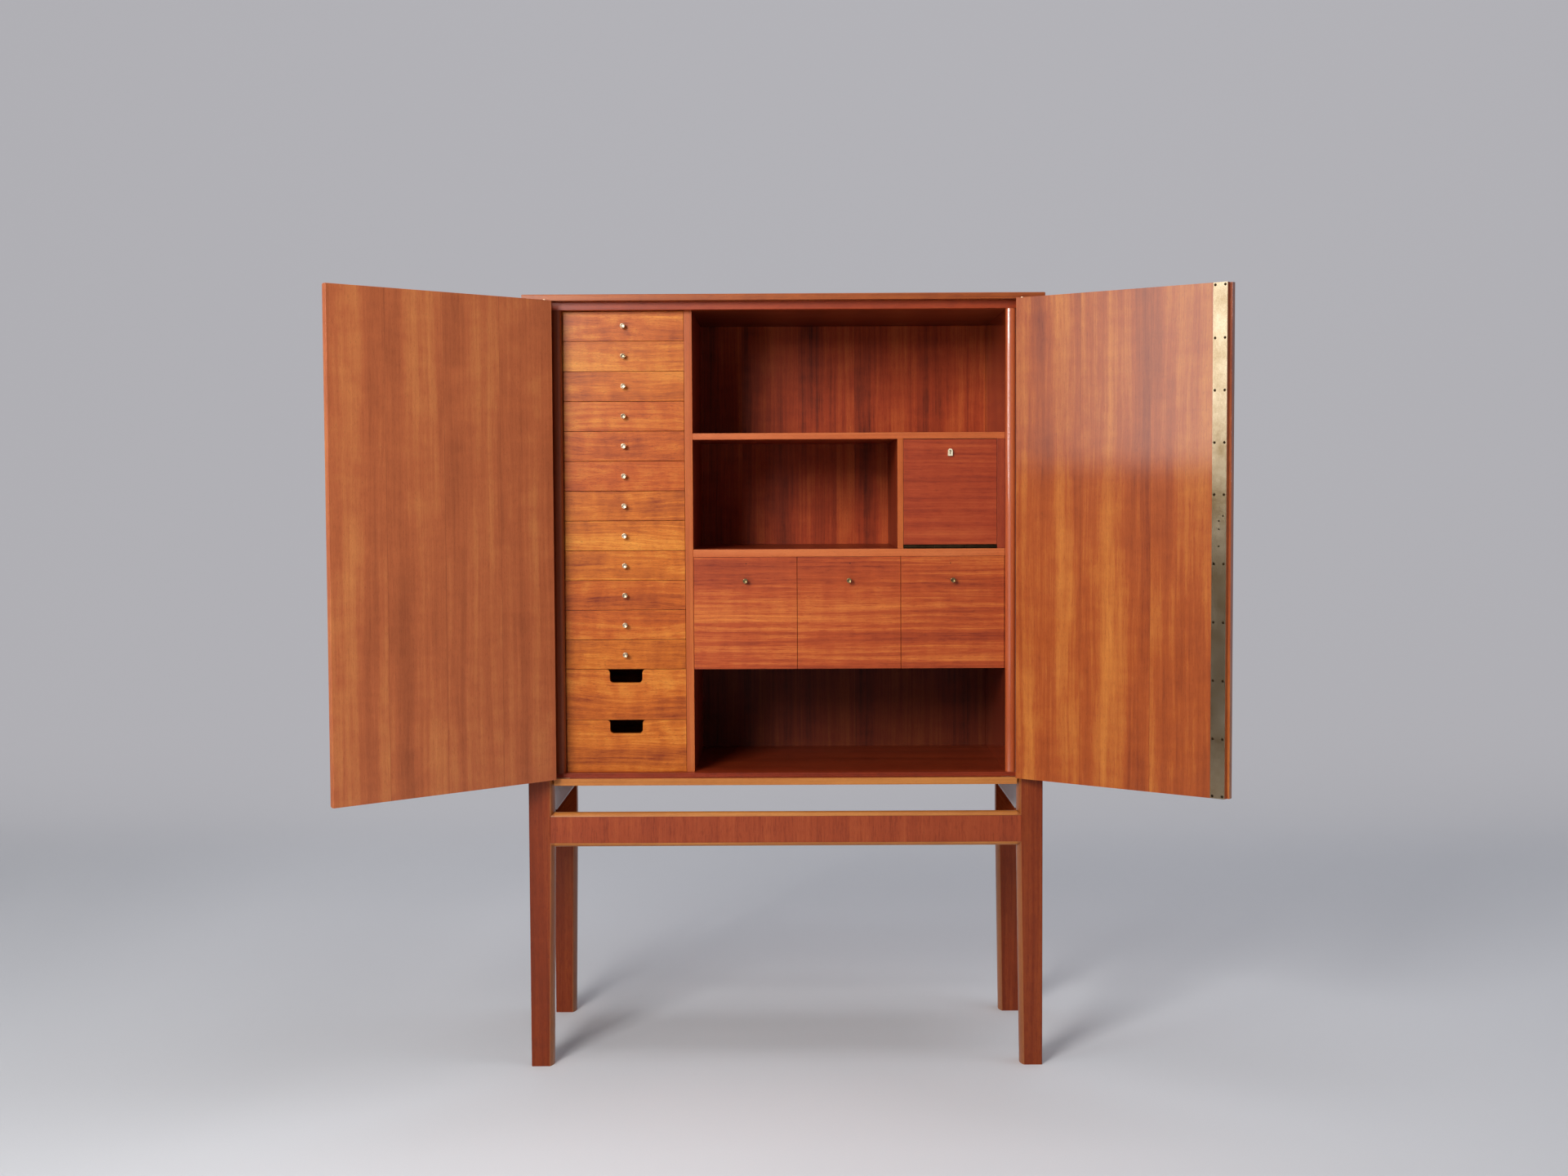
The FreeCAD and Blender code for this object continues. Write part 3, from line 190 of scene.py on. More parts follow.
def build_wood():
    """The tone runs from the dark over the middle to the light colour, and pores and fibres lie over
    it. The height is the fibres' relief, less the pores."""
    tree = bpy.data.node_groups.new("sliced_mahogany", "ShaderNodeTree")
    kinds = {"Place": "Vector"}
    kinds.update({name: "Color" for name in WOOD_COLOURS})
    kinds.update({name: "Float" for name in WOOD_AMOUNTS})
    for name, kind in kinds.items():
        tree.interface.new_socket(name, in_out="INPUT", socket_type="NodeSocket" + kind)
    for name, kind in (("Color", "Color"), ("Height", "Float")):
        tree.interface.new_socket(name, in_out="OUTPUT", socket_type="NodeSocket" + kind)
    given = tree.nodes.new("NodeGroupInput").outputs
    result = tree.nodes.new("NodeGroupOutput").inputs
    place = swayed(tree, given["Place"], given)
    tone = wood_tone(tree, place, given)
    lower = add(tree, "Math", (tone, 2.0), operation="MULTIPLY", use_clamp=True)
    upper = add(tree, "Math", (tone, 2.0, -1.0), operation="MULTIPLY_ADD", use_clamp=True)
    colour = add(tree, "Mix", {0: lower, 6: given["Dark"], 7: given["Mid"]}, **COLOUR_MIX)
    colour = add(tree, "Mix", {0: upper, 6: colour, 7: given["Light"]}, **COLOUR_MIX)
    # Pores are the low ends of a very fine noise that is stretched along the grain. They are drawn
    # about three times as wide as the real ones, which would not show.
    pore = add(tree, "MapRange", (noise(tree, place, (0.6, 0.6, 6.0), detail=1.0), *PORE_RANGE, 1.0, 0.0))
    pore = add(tree, "Math", (pore, given["Pore"]), operation="MULTIPLY")
    deep = add(tree, "Mix", {0: 0.6, 6: given["Dark"], 7: linear(PORE_BROWN)}, **COLOUR_MIX)
    colour = add(tree, "Mix", {0: pore, 6: colour, 7: deep}, **COLOUR_MIX)
    fibre = noise(tree, place, (0.5, 0.5, 14))
    sheen = add(tree, "MapRange", (fibre, 0.25, 0.75, *SHEEN))
    colour = add(tree, "VectorMath", {0: colour, "Scale": sheen}, operation="SCALE")
    relief = add(tree, "Math", (fibre, 0.35), operation="MULTIPLY")
    relief = add(tree, "Math", (relief, pore), operation="SUBTRACT")
    put(tree, colour, result["Color"])
    put(tree, relief, result["Height"])
    return tree


WOOD = build_wood()
print("wood group:", len(WOOD.nodes), "nodes")

# %% [markdown]
# The way of the grain, and masks
#
# A veneered board is cut so that its fibres run along it, or across it for show. A UV map for each
# board could say which way, but the frame's meshes stay as they are. So the object's coordinates are
# turned until the grain lies on Z. Several boards are one mesh here, and masks on the coordinates
# tell them apart, such as the front rail from the rails at the sides, and a lipping from the veneer
# that it protects.

# %% Grain and masks
GRAIN = {
    # Euler angles that bring the grain onto Z
    "z": (0.0, 0.0, 0.0),
    "x": (0.0, math.radians(-90), 0.0),
    "y": (math.radians(90), 0.0, 0.0),
}
# Half the width over which a mask fades, and a reach past every face of the case and its frame
FADE = 0.0002
FAR = 0.6


def turned(tree, grain, angle):
    """Object coordinates with the grain on Z, for a board that stands at an angle about Z."""
    place = add(tree, "TexCoord", give="Object")
    place = add(tree, "VectorRotate", {"Vector": place, "Angle": -angle}, rotation_type="Z_AXIS")
    inputs = {"Vector": place, "Rotation": GRAIN[grain]}
    return add(tree, "VectorRotate", inputs, rotation_type="EULER_XYZ")


def inside(tree, axis, low, high):
    """1 where the object coordinate on an axis lies between two bounds, which fade over 0.4 mm."""
    at = add(tree, "SeparateXYZ", (add(tree, "TexCoord", give="Object"),), axis)
    above_low = add(tree, "MapRange", (at, low - FADE, low + FADE))
    below_high = add(tree, "MapRange", (at, high - FADE, high + FADE, 1.0, 0.0))
    return add(tree, "Math", (above_low, below_high), operation="MULTIPLY")


def front_edge(node, deep):
    """A mask for the front edge of a node, from its front face to a depth. FAR lies past the case."""
    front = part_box(node)[0][1]
    return lambda tree: inside(tree, "Y", front - FAR, front + deep)


print("grain along", sorted(GRAIN), "and masks that fade over", 2 * FADE * MILLIMETRES, "mm")

# %% [markdown]
# Leaves
#
# A leaf of veneer is only as wide as the log, so a wide board is laid with several leaves side by
# side. A sheet of one piece would show no joints and look like printed wood. So each leaf starts at
# another place of the same figure, and a fine dark line of glue shows the joint.

# %% Leaves
# From the place of one leaf in the figure to that of the next, in metres
LEAF_JUMP = (0.37, 0.53, 0.91)
JOINT_CORE, JOINT_END = 0.0001, 0.0005


def leaves(tree, place, width, first):
    """The place moved by a jump for each leaf across the grain, and a mask for the joints. The
    number of a leaf is (across - first) / width, rounded down, and the mask falls from 1 to 0 as the
    distance from a joint grows from JOINT_CORE to JOINT_END."""
    across = add(tree, "SeparateXYZ", (place,))
    past_first = add(tree, "Math", (across, first), operation="SUBTRACT")
    count = add(tree, "Math", (past_first, width), operation="DIVIDE")
    leaf = add(tree, "Math", (count,), operation="FLOOR")
    jump = add(tree, "VectorMath", {0: LEAF_JUMP, "Scale": leaf}, operation="SCALE")
    nearest = add(tree, "Math", (count,), operation="ROUND")
    apart = add(tree, "Math", (count, nearest), operation="SUBTRACT")
    apart = add(tree, "Math", (apart,), operation="ABSOLUTE")
    joint = add(tree, "MapRange", (apart, JOINT_CORE / width, JOINT_END / width, 1.0, 0.0))
    return add(tree, "VectorMath", (place, jump), operation="ADD"), joint


print("a joint is", round((JOINT_CORE + JOINT_END) * MILLIMETRES, 1), "mm wide")

# %% [markdown]
# The finish
#
# The wood was grain-filled a little, rubbed smooth and given a thin clear lacquer. Filled pores are
# shallow, which a bump of a few hundredths of a millimetre shows well enough, and no mesh could be
# that fine. Satin wood has a roughness near 0.4, wear makes it uneven by a few hundredths, and the
# lacquer is a clear coat over it, smoother where hands and cloths have polished it.

# %% Lacquer
# The roughness and gloss of the wood, and the weight, roughness and IOR of the coat over it
SATIN = {"rough": 0.38, "gloss": 0.35, "coat": 0.15, "coat_rough": 0.2, "coat_ior": 1.5}
WOOD_IOR = 1.45
PORE_DEPTH = 0.00004
WEAR = (-0.05, 0.06)


def lacquer(tree, shader, colour, height, rough, gloss, coat, coat_rough, coat_ior):
    """The finished wood: a satin surface under a thin lacquer. The gloss and the weight of the coat
    are numbers, or masks where one node has faces of two kinds."""
    wear = noise(tree, add(tree, "TexCoord", give="Object"), (70, 70, 70), detail=4.0)
    bump = {"Height": height, "Strength": 0.4, "Distance": PORE_DEPTH}
    inputs = {
        "Base Color": colour,
        "Roughness": add(tree, "MapRange", (wear, 0.0, 1.0, rough + WEAR[0], rough + WEAR[1])),
        "Normal": add(tree, "Bump", bump),
        "IOR": WOOD_IOR,
        "Specular IOR Level": gloss,
        "Coat Weight": coat,
        "Coat Roughness": coat_rough,
        "Coat IOR": coat_ior,
    }
    for key, value in inputs.items():
        put(tree, value(tree) if callable(value) else value, shader[key])


print("satin lacquer:", SATIN)

# %% [markdown]
# Veneer
#
# One function makes every veneer of the cabinet, because they differ only in their cut, colour,
# wear and painted light. It turns the grain, lays the leaves, adds a lipping on the front edge, and
# then the small things that the eye finds at once: dark joints, painted shade on faces that lie in
# deep shade, holes, and a painted reflection of the pale room on faces under the case.

# %% The veneer function
# How much each layer of the wood group counts. Wave and curl are metres that the grain sways.
FIGURE = {
    "band": 0.9, "streak": 0.8, "figure": 0.3, "wave": 0.012, "curl": 0.002, "pore": 0.3, "cloud": 0.3,
    "fleck": 0.12,
}
LIPPING_FIGURE = {
    "band": 0.5, "streak": 0.7, "figure": 0.15, "wave": 0.004, "curl": 0.001, "pore": 0.25, "cloud": 0.3,
    "fleck": 0.0,
}
GLUE_BROWN, JOINT_SHARE, LINE_SHARE = "#2a1008", 0.45, 0.7
# The pale grey and its share for a painted reflection of the pale room on faces under the case
PAINTED_REFLECTION_GREY, PAINTED_REFLECTION_SHARE = "#e2e8ea", 0.94
LINE_HALF = 0.0004
HOLE_CORE, HOLE_END = 0.0008, 0.0013


def figured(tree, place, colours, amounts):
    """The colour and height outputs of the wood group at a place."""
    group = tree.nodes.new("ShaderNodeGroup")
    group.node_tree = WOOD
    put(tree, place, group.inputs["Place"])
    for key, colour in zip(WOOD_COLOURS, colours):
        put(tree, linear(colour) if isinstance(colour, str) else colour, group.inputs[key])
    for key, amount in amounts.items():
        put(tree, amount, group.inputs[key.capitalize()])
    return group.outputs["Color"], group.outputs["Height"]


def veneer(name, grain, colours, shift=(0.0, 0.0, 0.0), angle=0.0, across=None, leaf=None, edge=None,
           lines=(), shade=None, dots=(), painted_reflection=None, **looks):
    """A veneer material.

    The grain is an axis, for a board that stands at an angle about Z. The shift is the place in the
    log. across is (mask function, axis) for boards of the node whose grain runs another way, and leaf
    the width of a leaf and the place of a joint. edge is (mask function, axis, colours) for a
    lipping. lines are dark joints, as pairs of an axis and a coordinate. shade is (mask function,
    factor) for painted shade: faces that lie in shade are painted darker by the factor. dots are
    small dark holes at X and Z, and worn is a mask function for a painted reflection: faces painted
    pale grey for the pale room that they mirror. looks are the values of FIGURE and SATIN that differ.
    """
    material, tree, shader = fresh(name)
    place = turned(tree, grain, angle)
    if across:
        inputs = {0: across[0](tree), 4: place, 5: turned(tree, across[1], angle)}
        place = add(tree, "Mix", inputs, 1, data_type="VECTOR")
    overlays = []
    if leaf:
        place, joint = leaves(tree, place, *leaf)
        overlays = [(add(tree, "Math", (joint, JOINT_SHARE), operation="MULTIPLY"), linear(GLUE_BROWN))]
    place = add(tree, "VectorMath", (place, shift), operation="ADD")
    amounts = {key: looks.get(key, usual) for key, usual in FIGURE.items()}
    colour, height = figured(tree, place, colours, amounts)
    if edge:
        mask, axis, edge_colours = edge
        strip = add(tree, "VectorMath", (turned(tree, axis, angle), shift), operation="ADD")
        overlays.insert(0, (mask(tree), figured(tree, strip, edge_colours, LIPPING_FIGURE)[0]))
    for axis, at in lines:
        line = inside(tree, axis, at - LINE_HALF, at + LINE_HALF)
        line = add(tree, "Math", (line, LINE_SHARE), operation="MULTIPLY")
        overlays.append((line, linear(GLUE_BROWN)))
    for share, over in overlays:
        colour = add(tree, "Mix", {0: share, 6: colour, 7: over}, **COLOUR_MIX)
    # Painted shade: faces that lie in shade are painted darker by the factor
    if shade:
        mask, factor = shade
        dim = add(tree, "Math", (mask(tree), factor - 1.0, 1.0), operation="MULTIPLY_ADD")
        colour = add(tree, "VectorMath", {0: colour, "Scale": dim}, operation="SCALE")
    for x, z in dots:
        from_hole = (add(tree, "TexCoord", give="Object"), (x, 0.0, z))
        away = add(tree, "VectorMath", from_hole, "Value", operation="DISTANCE")
        hole = add(tree, "MapRange", (away, HOLE_CORE, HOLE_END, 1.0, 0.0))
        colour = add(tree, "Mix", {0: hole, 6: colour, 7: linear(PORE_BROWN)}, **COLOUR_MIX)
    # Painted reflection: the masked faces are painted pale grey for the pale room that they mirror
    if painted_reflection:
        share = add(tree, "Math", (painted_reflection(tree), PAINTED_REFLECTION_SHARE), operation="MULTIPLY")
        colour = add(tree, "Mix", {0: share, 6: colour, 7: linear(PAINTED_REFLECTION_GREY)}, **COLOUR_MIX)
    lacquer(tree, shader, colour, height, **{key: looks.get(key, usual) for key, usual in SATIN.items()})
    return material


wood = {}
print("amounts of the figure:", FIGURE)

# %% [markdown]
# The doors
#
# Both doors stand open and show their inner faces, laid with upright leaves. The eye sees soft
# stripes as wide as a hand, with hardly any flecks. The right door is redder in its dark stripes and
# more golden in its light ones, and its lacquer is smooth enough to mirror a lamp. Each door's angle
# turns the pattern with it, so that no fibre runs slantwise through the board.

# %% Door veneers
LEFT_ANGLE = math.radians(-137.4)
RIGHT_ANGLE = math.radians(142.2)
wood["left_door"] = veneer(
    "left_door_mahogany_veneer", "z", ("#8a4526", "#b66239", "#d4884c"), (0.3, 0.1, 0.4), LEFT_ANGLE,
    leaf=(0.122, 0.4886), band=1.0, streak=0.6, figure=0.3, cloud=0.6, fleck=0.07, wave=0.02,
)
wood["right_door"] = veneer(
    "right_door_mahogany_veneer", "z", ("#74280e", "#ac5220", "#d48439"), (1.3, 0.1, 0.9), RIGHT_ANGLE,
    leaf=(0.145, 0.05), band=1.2, streak=0.7, figure=0.25, cloud=0.6, fleck=0.07, wave=0.02,
    coat=1.0, coat_rough=0.08,
)
print("door veneers:", sorted(wood))

# %% [markdown]
# The leg frame
#
# The posts are veneered in dark plain leaves. Their inner sides have convex lippings of solid wood,
# which look lighter, with close even fibres, and lighter still on the rail. The front rail's field
# is laid with short upright fibres between two dark lines, as a frieze is. The side rails run from
# front to back under the case and are painted darker there, as painted shade. Their top faces are
# painted pale grey, as a painted reflection of the pale room, and a mask gives them a coat of wax of
# their own that mirrors it too.

# %% Leg frame materials
# A plane between the front rail and the side rails, and the step from one's mask to the other's
RAIL_BACK, RAIL_GAP = -0.010, 0.0005
RAIL_LIPPING = 0.008
# How far the finish of a top face reaches down over its eased edge, and its gloss
TOP_SKIN, TOP_GLOSS = 0.0006, 3.0
RAIL_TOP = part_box("stretchers")[1][2]
RAIL_HEIGHT = RAIL_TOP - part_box("stretchers")[0][2]
CASE_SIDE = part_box("bottom_board")[1][0] + FADE
LIPPING = ("#8a481e", "#ba7234", "#dc984e")
WAX_IOR = 2.1


def front_rail(tree):
    """The front rail, which lies before the side rails."""
    return inside(tree, "Y", -FAR, RAIL_BACK)


def side_rails(tree):
    """The two rails at the sides, behind the front legs."""
    return inside(tree, "Y", RAIL_BACK + RAIL_GAP, FAR)


def rail_tops(tree):
    """The upper faces of the side rails."""
    upper = inside(tree, "Z", RAIL_TOP - TOP_SKIN, RAIL_TOP + FAR)
    return add(tree, "Math", (side_rails(tree), upper), operation="MULTIPLY")


def rail_gloss(tree):
    """The usual gloss on the front rail, much on the side rails' upper faces, none on their sides."""
    front = add(tree, "Math", (front_rail(tree), SATIN["gloss"]), operation="MULTIPLY")
    return add(tree, "Math", (rail_tops(tree), TOP_GLOSS, front), operation="MULTIPLY_ADD")


def between_legs(tree):
    """The lippings of the rail, between the inner sides of the legs."""
    return inside(tree, "X", -CASE_SIDE, CASE_SIDE)


wood["posts"] = veneer(
    "leg_mahogany_veneer", "z", ("#541c08", "#803110", "#a04e20"), (0.9, 0.3, 0.1), figure=0.15,
    coat=0.1, gloss=0.25,
)
wood["frame_lippings"] = veneer(
    "solid_mahogany_lipping", "z", ("#7a3818", "#a05a2a", "#bc7a40"), (0.2, 0.5, 0.6), streak=0.6,
    figure=0.1, edge=(between_legs, "x", LIPPING),
)
# The side rails are painted darker as painted shade under the case, and their top faces pale grey as a
# painted reflection of the pale room
wood["stretchers"] = veneer(
    "rail_mahogany_veneer", "y", ("#742a12", "#99401e", "#b45a2c"), (0.7, 0.2, 0.5), leaf=(0.2065, 0.0616),
    band=0.7, streak=0.8, figure=0.25, fleck=0.2, across=(front_rail, "z"), shade=(side_rails, 0.6),
    lines=[("Z", RAIL_TOP - RAIL_LIPPING), ("Z", RAIL_TOP - RAIL_HEIGHT + RAIL_LIPPING)],
    painted_reflection=rail_tops, gloss=rail_gloss, coat=rail_tops, coat_rough=0.28, coat_ior=WAX_IOR,
)
print("the rails are", round(RAIL_HEIGHT * MILLIMETRES, 1), "mm high, their top at", round(RAIL_TOP, 3))

# %% [markdown]
# The case
#
# The grain of top, floor and header runs from side to side, that of the sides and the back upright.
# The floor has a narrow lipping. The sides end in rounded nosings, pale wood that faces the lamp, and
# the one at the left is painted darker, as painted shade. The right side is waxed, so it mirrors more
# of the room than plain lacquer does. The inner faces of the top and floor and the back panel in the
# low bay are painted darker, as painted shade, and the back panel has no polish at all.

# %% Case materials
# How far behind the plane of the drawer fronts the painted shade of the case begins
PAINTED_SHADE_DEPTH = 0.006
RED = ("#601a08", "#8e3214", "#a84620")
BACK_FACE, FACE_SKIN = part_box("back_panel")[0][1], 0.002
# Heights under and over the low bay, where no other face of the back panel is in sight
LOW_BAY = (0.5, 0.8)
NOSING_DEPTH, FLOOR_LIP = 0.0107, 0.0035


def painted_shade_inside(tree):
    """The faces of a board from just behind the drawer fronts' plane, which get painted shade."""
    return inside(tree, "Y", PAINTED_SHADE_DEPTH, FAR)


def low_bay_back(tree):
    """The inner face of the back panel in the low bay: painted shade, for the deep shade it lies in."""
    masks = (inside(tree, "Y", BACK_FACE - FAR, BACK_FACE + FACE_SKIN), inside(tree, "Z", *LOW_BAY))
    return add(tree, "Math", masks, operation="MULTIPLY")


def left_nosing(tree):
    """The front end of the left side panel, painted darker as painted shade."""
    masks = (inside(tree, "Y", -FAR, 0.0), inside(tree, "X", -FAR, 0.0))
    return add(tree, "Math", masks, operation="MULTIPLY")


def right_side(tree):
    """The right half of the case."""
    return inside(tree, "X", 0.0, FAR)


wood["top_slab"] = veneer("top_mahogany_veneer", "x", ("#7c3410", "#a8541f", "#c67838"), (0.2, 1.7, 0.5))
# Behind the drawer fronts' plane the top board is painted darker, as painted shade
wood["top_board"] = veneer(
    "header_mahogany_veneer", "x", ("#74240a", "#9c3a14", "#b25426"), (0.4, 2.1, 0.5), shade=(painted_shade_inside, 0.45),
)
# Behind the drawer fronts' plane the floor is painted a little darker, as painted shade
wood["bottom_board"] = veneer(
    "floor_mahogany_veneer", "x", RED, (0.6, 2.7, 0.3), shade=(painted_shade_inside, 0.9), coat=0.05,
    edge=(front_edge("bottom_board", FLOOR_LIP), "x", LIPPING),
)
# The left nosing is painted darker, as painted shade
wood["side_panels"] = veneer(
    "side_mahogany_veneer", "z", RED, (0.3, 0.9, 0.2), shade=(left_nosing, 0.4),
    edge=(front_edge("side_panels", NOSING_DEPTH), "z", ("#983c18", "#c65e30", "#dc7c44")),
    coat=right_side, coat_rough=0.07, coat_ior=WAX_IOR,
)
# The back panel's inner face in the low bay is painted darker, as painted shade
wood["back_panel"] = veneer(
    "back_mahogany_veneer", "z", ("#4c1204", "#a83e1a", "#d0662e"), (2.3, 0.9, 0.2), leaf=(0.12, 0.03),
    band=1.0, streak=0.9, cloud=0.6, fleck=0.06, shade=(low_bay_back, 0.32), rough=0.5, coat=0.0, gloss=0.2,
)
print("the back panel's inner face is at", round(BACK_FACE, 3))

# %% [markdown]
# Shelves, partitions, battens and the flap
#
# The inner boards are the red of the case with paler lipped front edges, which draw the lines that
# the eye follows. The strip beside the flap has no lipping, so the mask ends before it. The battens
# under the drawers are planed beech, pale and dry beside the lacquered wood. The flap is a red leaf
# with close streaks.

# %% Materials of the inner boards
SHELF_LIP, PARTITION_LIP = 0.004, 0.003
SHELF_EDGE = ("#963a18", "#c2622f", "#de844c")
FLAP_MIDDLE = (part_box("flap")[0][0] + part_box("flap")[1][0]) / 2


def partition_fronts(tree):
    """The lipped front edges of the divider and the partition, left of the flap's middle."""
    masks = (front_edge("partitions", PARTITION_LIP)(tree), inside(tree, "X", -FAR, FLAP_MIDDLE))
    return add(tree, "Math", masks, operation="MULTIPLY")


wood["partitions"] = veneer(
    "partition_mahogany_veneer", "z", RED, (1.1, 0.3, 0.2),
    edge=(partition_fronts, "z", ("#86340f", "#b85a24", "#d4823c")),
)
for shelf, shift in (("upper_shelf", (0.1, 0.4, 0.2)), ("middle_shelf", (0.5, 0.4, 0.8))):
    wood[shelf] = veneer(
        shelf + "_mahogany_veneer", "x", RED, shift, edge=(front_edge(shelf, SHELF_LIP), "x", SHELF_EDGE),
    )
wood["lower_shelf"] = veneer("lower_shelf_mahogany_veneer", "x", RED, (0.9, 0.4, 0.8))
wood["battens"] = veneer("planed_beech_batten", "y", ("#8a6238", "#a87c4c", "#c09663"), coat=0.0, rough=0.6)
wood["flap"] = veneer(
    "flap_mahogany_veneer", "x", ("#741e08", "#a23c18", "#bd5a2a"), (0.8, 0.1, 1.8), streak=1.2,
)
print("veneers so far:", len(wood))

# %% [markdown]
# The drawer fronts
#
# Each front of the left bank was cut from another part of the wood, so each one takes its own place
# in the log, drawn at random with its number as the seed, and its own share of red between a golden
# and a copper set of colours. The figure is lively, with much curl. The three deep fronts come from
# one wide leaf that runs on from front to front, and each has a small dark hole over its knob.

# %% Drawer materials
GOLD = ("#883408", "#c66a1c", "#ea9e3e")
COPPER = ("#7a2606", "#b85318", "#d68030")
WARM = ("#74200a", "#b04a1c", "#dc8038")
SHALLOW_DRAWERS = 12
# How red each front is, from the top drawer down to the lower tray
REDNESS = (0.55, 0.3, 0.35, 0.8, 0.75, 0.9, 0.2, 0.0, 0.1, 0.65, 0.7, 0.1, 0.35, 0.15)
HOLES, HOLE_HEIGHT = (-0.075, 0.128, 0.324), 0.980


def between(first, second, share):
    """A set of colours between two sets, by a share of the second."""
    pairs = [(linear(a), linear(b)) for a, b in zip(first, second)]
    return [tuple(p + (q - p) * share for p, q in zip(a, b)) for a, b in pairs]


fronts = [f"drawer_{number:02d}" for number in range(1, SHALLOW_DRAWERS + 1)] + ["upper_tray", "lower_tray"]
for number, (front, red) in enumerate(zip(fronts, REDNESS), start=1):
    shift = tuple(float(v) for v in np.random.default_rng(number).uniform(0.0, 9.0, 3))
    wood[front] = veneer(
        front + "_mahogany_veneer", "x", between(GOLD, COPPER, red), shift, band=1.0, streak=1.1,
        figure=0.6, cloud=0.5, wave=0.05, curl=0.007, pore=0.45, coat=0.12, gloss=0.28,
    )
for number, hole in enumerate(HOLES, start=1):
    wood[f"deep_drawer_{number}"] = veneer(
        f"deep_front_mahogany_veneer_{number}", "x", WARM, (3.0, 0.4, 0.9), band=1.2, streak=1.3,
        dots=[(hole, HOLE_HEIGHT)],
    )
print("veneers in all:", len(wood))

# %% [markdown]
# Aged brass
#
# Brass that was polished once has dulled since: a warm metal, paler where it is rubbed, browner in
# soft patches and small spots. A metal's base colour tints what it mirrors, so two tones of brass
# are mixed there, and fine upright scratches vary the roughness.

# %% Kinds of brass


def brass(name, bright, dull, rough=0.32, patch=18, uneven=0.16):
    """Two tones of brass, mixed by patches of a size in millimetres and by small spots. The
    roughness varies by a range, more of it above the given value than below."""
    material, tree, shader = fresh(name)
    place = add(tree, "TexCoord", give="Object")
    age = noise(tree, place, (patch, patch, patch), detail=6.0, rough=0.62)
    spots = noise(tree, place, (2.2, 2.2, 2.2), detail=4.0)
    tone = add(tree, "Math", (spots, 0.3, age), operation="MULTIPLY_ADD")
    tone = add(tree, "MapRange", (tone, 0.4, 0.9))
    scratch = noise(tree, place, (0.6, 0.6, 60), detail=3.0)
    shine = add(tree, "MapRange", (scratch, 0.0, 1.0, rough - 0.4 * uneven, rough + 0.6 * uneven))
    base = add(tree, "Mix", {0: tone, 6: linear(bright), 7: linear(dull)}, **COLOUR_MIX)
    for key, value in {"Base Color": base, "Roughness": shine, "Metallic": 1.0}.items():
        put(tree, value, shader[key])
    return material


metal = {
    # Turned and rubbed by fingers, so pale and lively
    "plain": brass("aged_turned_brass", "#ead9ba", "#94795a"),
    # Rolled smooth, so it mirrors in long soft streaks
    "strip": brass("rolled_brass_strip", "#d0bea2", "#8f744e", rough=0.24, patch=60, uneven=0.06),
    # Nearly black, so a nail reads as a dark dot, and the flap hinge as painted shade in its gap
    "dark": brass("near_black_brass", "#3c2e1e", "#18110a", rough=0.5),
    # The deep drawers' knobs, greener and less handled
    "olive": brass("olive_turned_brass", "#a08a60", "#5a4a30", rough=0.28),
    # Rubbed by the key, so bright and matte
    "plate": brass("polished_brass_keyhole_plate", "#f0e8d2", "#d2c096", rough=0.5),
}
print("kinds of brass:", sorted(metal))

# %% [markdown]
# A lathe
#
# A knob is turned on a lathe. Here it is the same: a profile of radii and distances is carried round
# its axis, all points at once with numpy. A Screw modifier could spin it too, but would leave doubled
# points at the poles. So the profile's ends are single points here, and triangles close them.

# %% The lathe


def lathe(profile, at, ahead, rounds=40):
    """The points of a closed turned piece, and its faces as arrays of quads and triangles.

    For a profile of pairs (r, d) that starts and ends at r = 0, and an axis a with two unit vectors
    p and q square to it, the points are at + a d + p r cos t + q r sin t, for t round the circle.
    """
    a = np.array(ahead, float) / np.linalg.norm(ahead)
    p = np.cross(a, (0.0, 0.0, 1.0))
    p /= np.linalg.norm(p)
    q = np.cross(a, p)
    t = np.linspace(0.0, 2 * math.pi, rounds, endpoint=False)
    ring = np.outer(np.cos(t), p) + np.outer(np.sin(t), q)
    r, d = np.array(profile, float).T
    rings = np.array(at) + a * d[1:-1, None, None] + ring[None] * r[1:-1, None, None]
    poles = [np.array(at) + a * d[0], np.array(at) + a * d[-1]]
    points = np.concatenate([rings.reshape(-1, 3), poles])
    rows = len(r) - 2
    i, j = np.meshgrid(np.arange(rows - 1), np.arange(rounds), indexing="ij")
    here, there = i * rounds + j, i * rounds + (j + 1) % rounds
    quads = np.stack([here, there, there + rounds, here + rounds], -1).reshape(-1, 4)
    j, k = np.arange(rounds), (np.arange(rounds) + 1) % rounds
    last = (rows - 1) * rounds
    start = np.stack([np.full(rounds, rows * rounds), k, j], 1)
    end = np.stack([np.full(rounds, rows * rounds + 1), last + j, last + k], 1)
    return points, [quads, start, end]


def surface(name, parts, material):
    """One smooth object from parts. A part is its points and its arrays of faces, which count from
    the part's own first point."""
    points, faces, first = [], [], 0
    for part_points, part_faces in parts:
        points += part_points.tolist()
        for kind in part_faces:
            faces += (kind + first).tolist()
        first += len(part_points)
    mesh = bpy.data.meshes.new(name)
    mesh.from_pydata(points, [], faces)
    mesh.materials.append(material)
    mesh.shade_smooth()
    thing = bpy.data.objects.new(name, mesh)
    bpy.context.collection.objects.link(thing)
    return thing


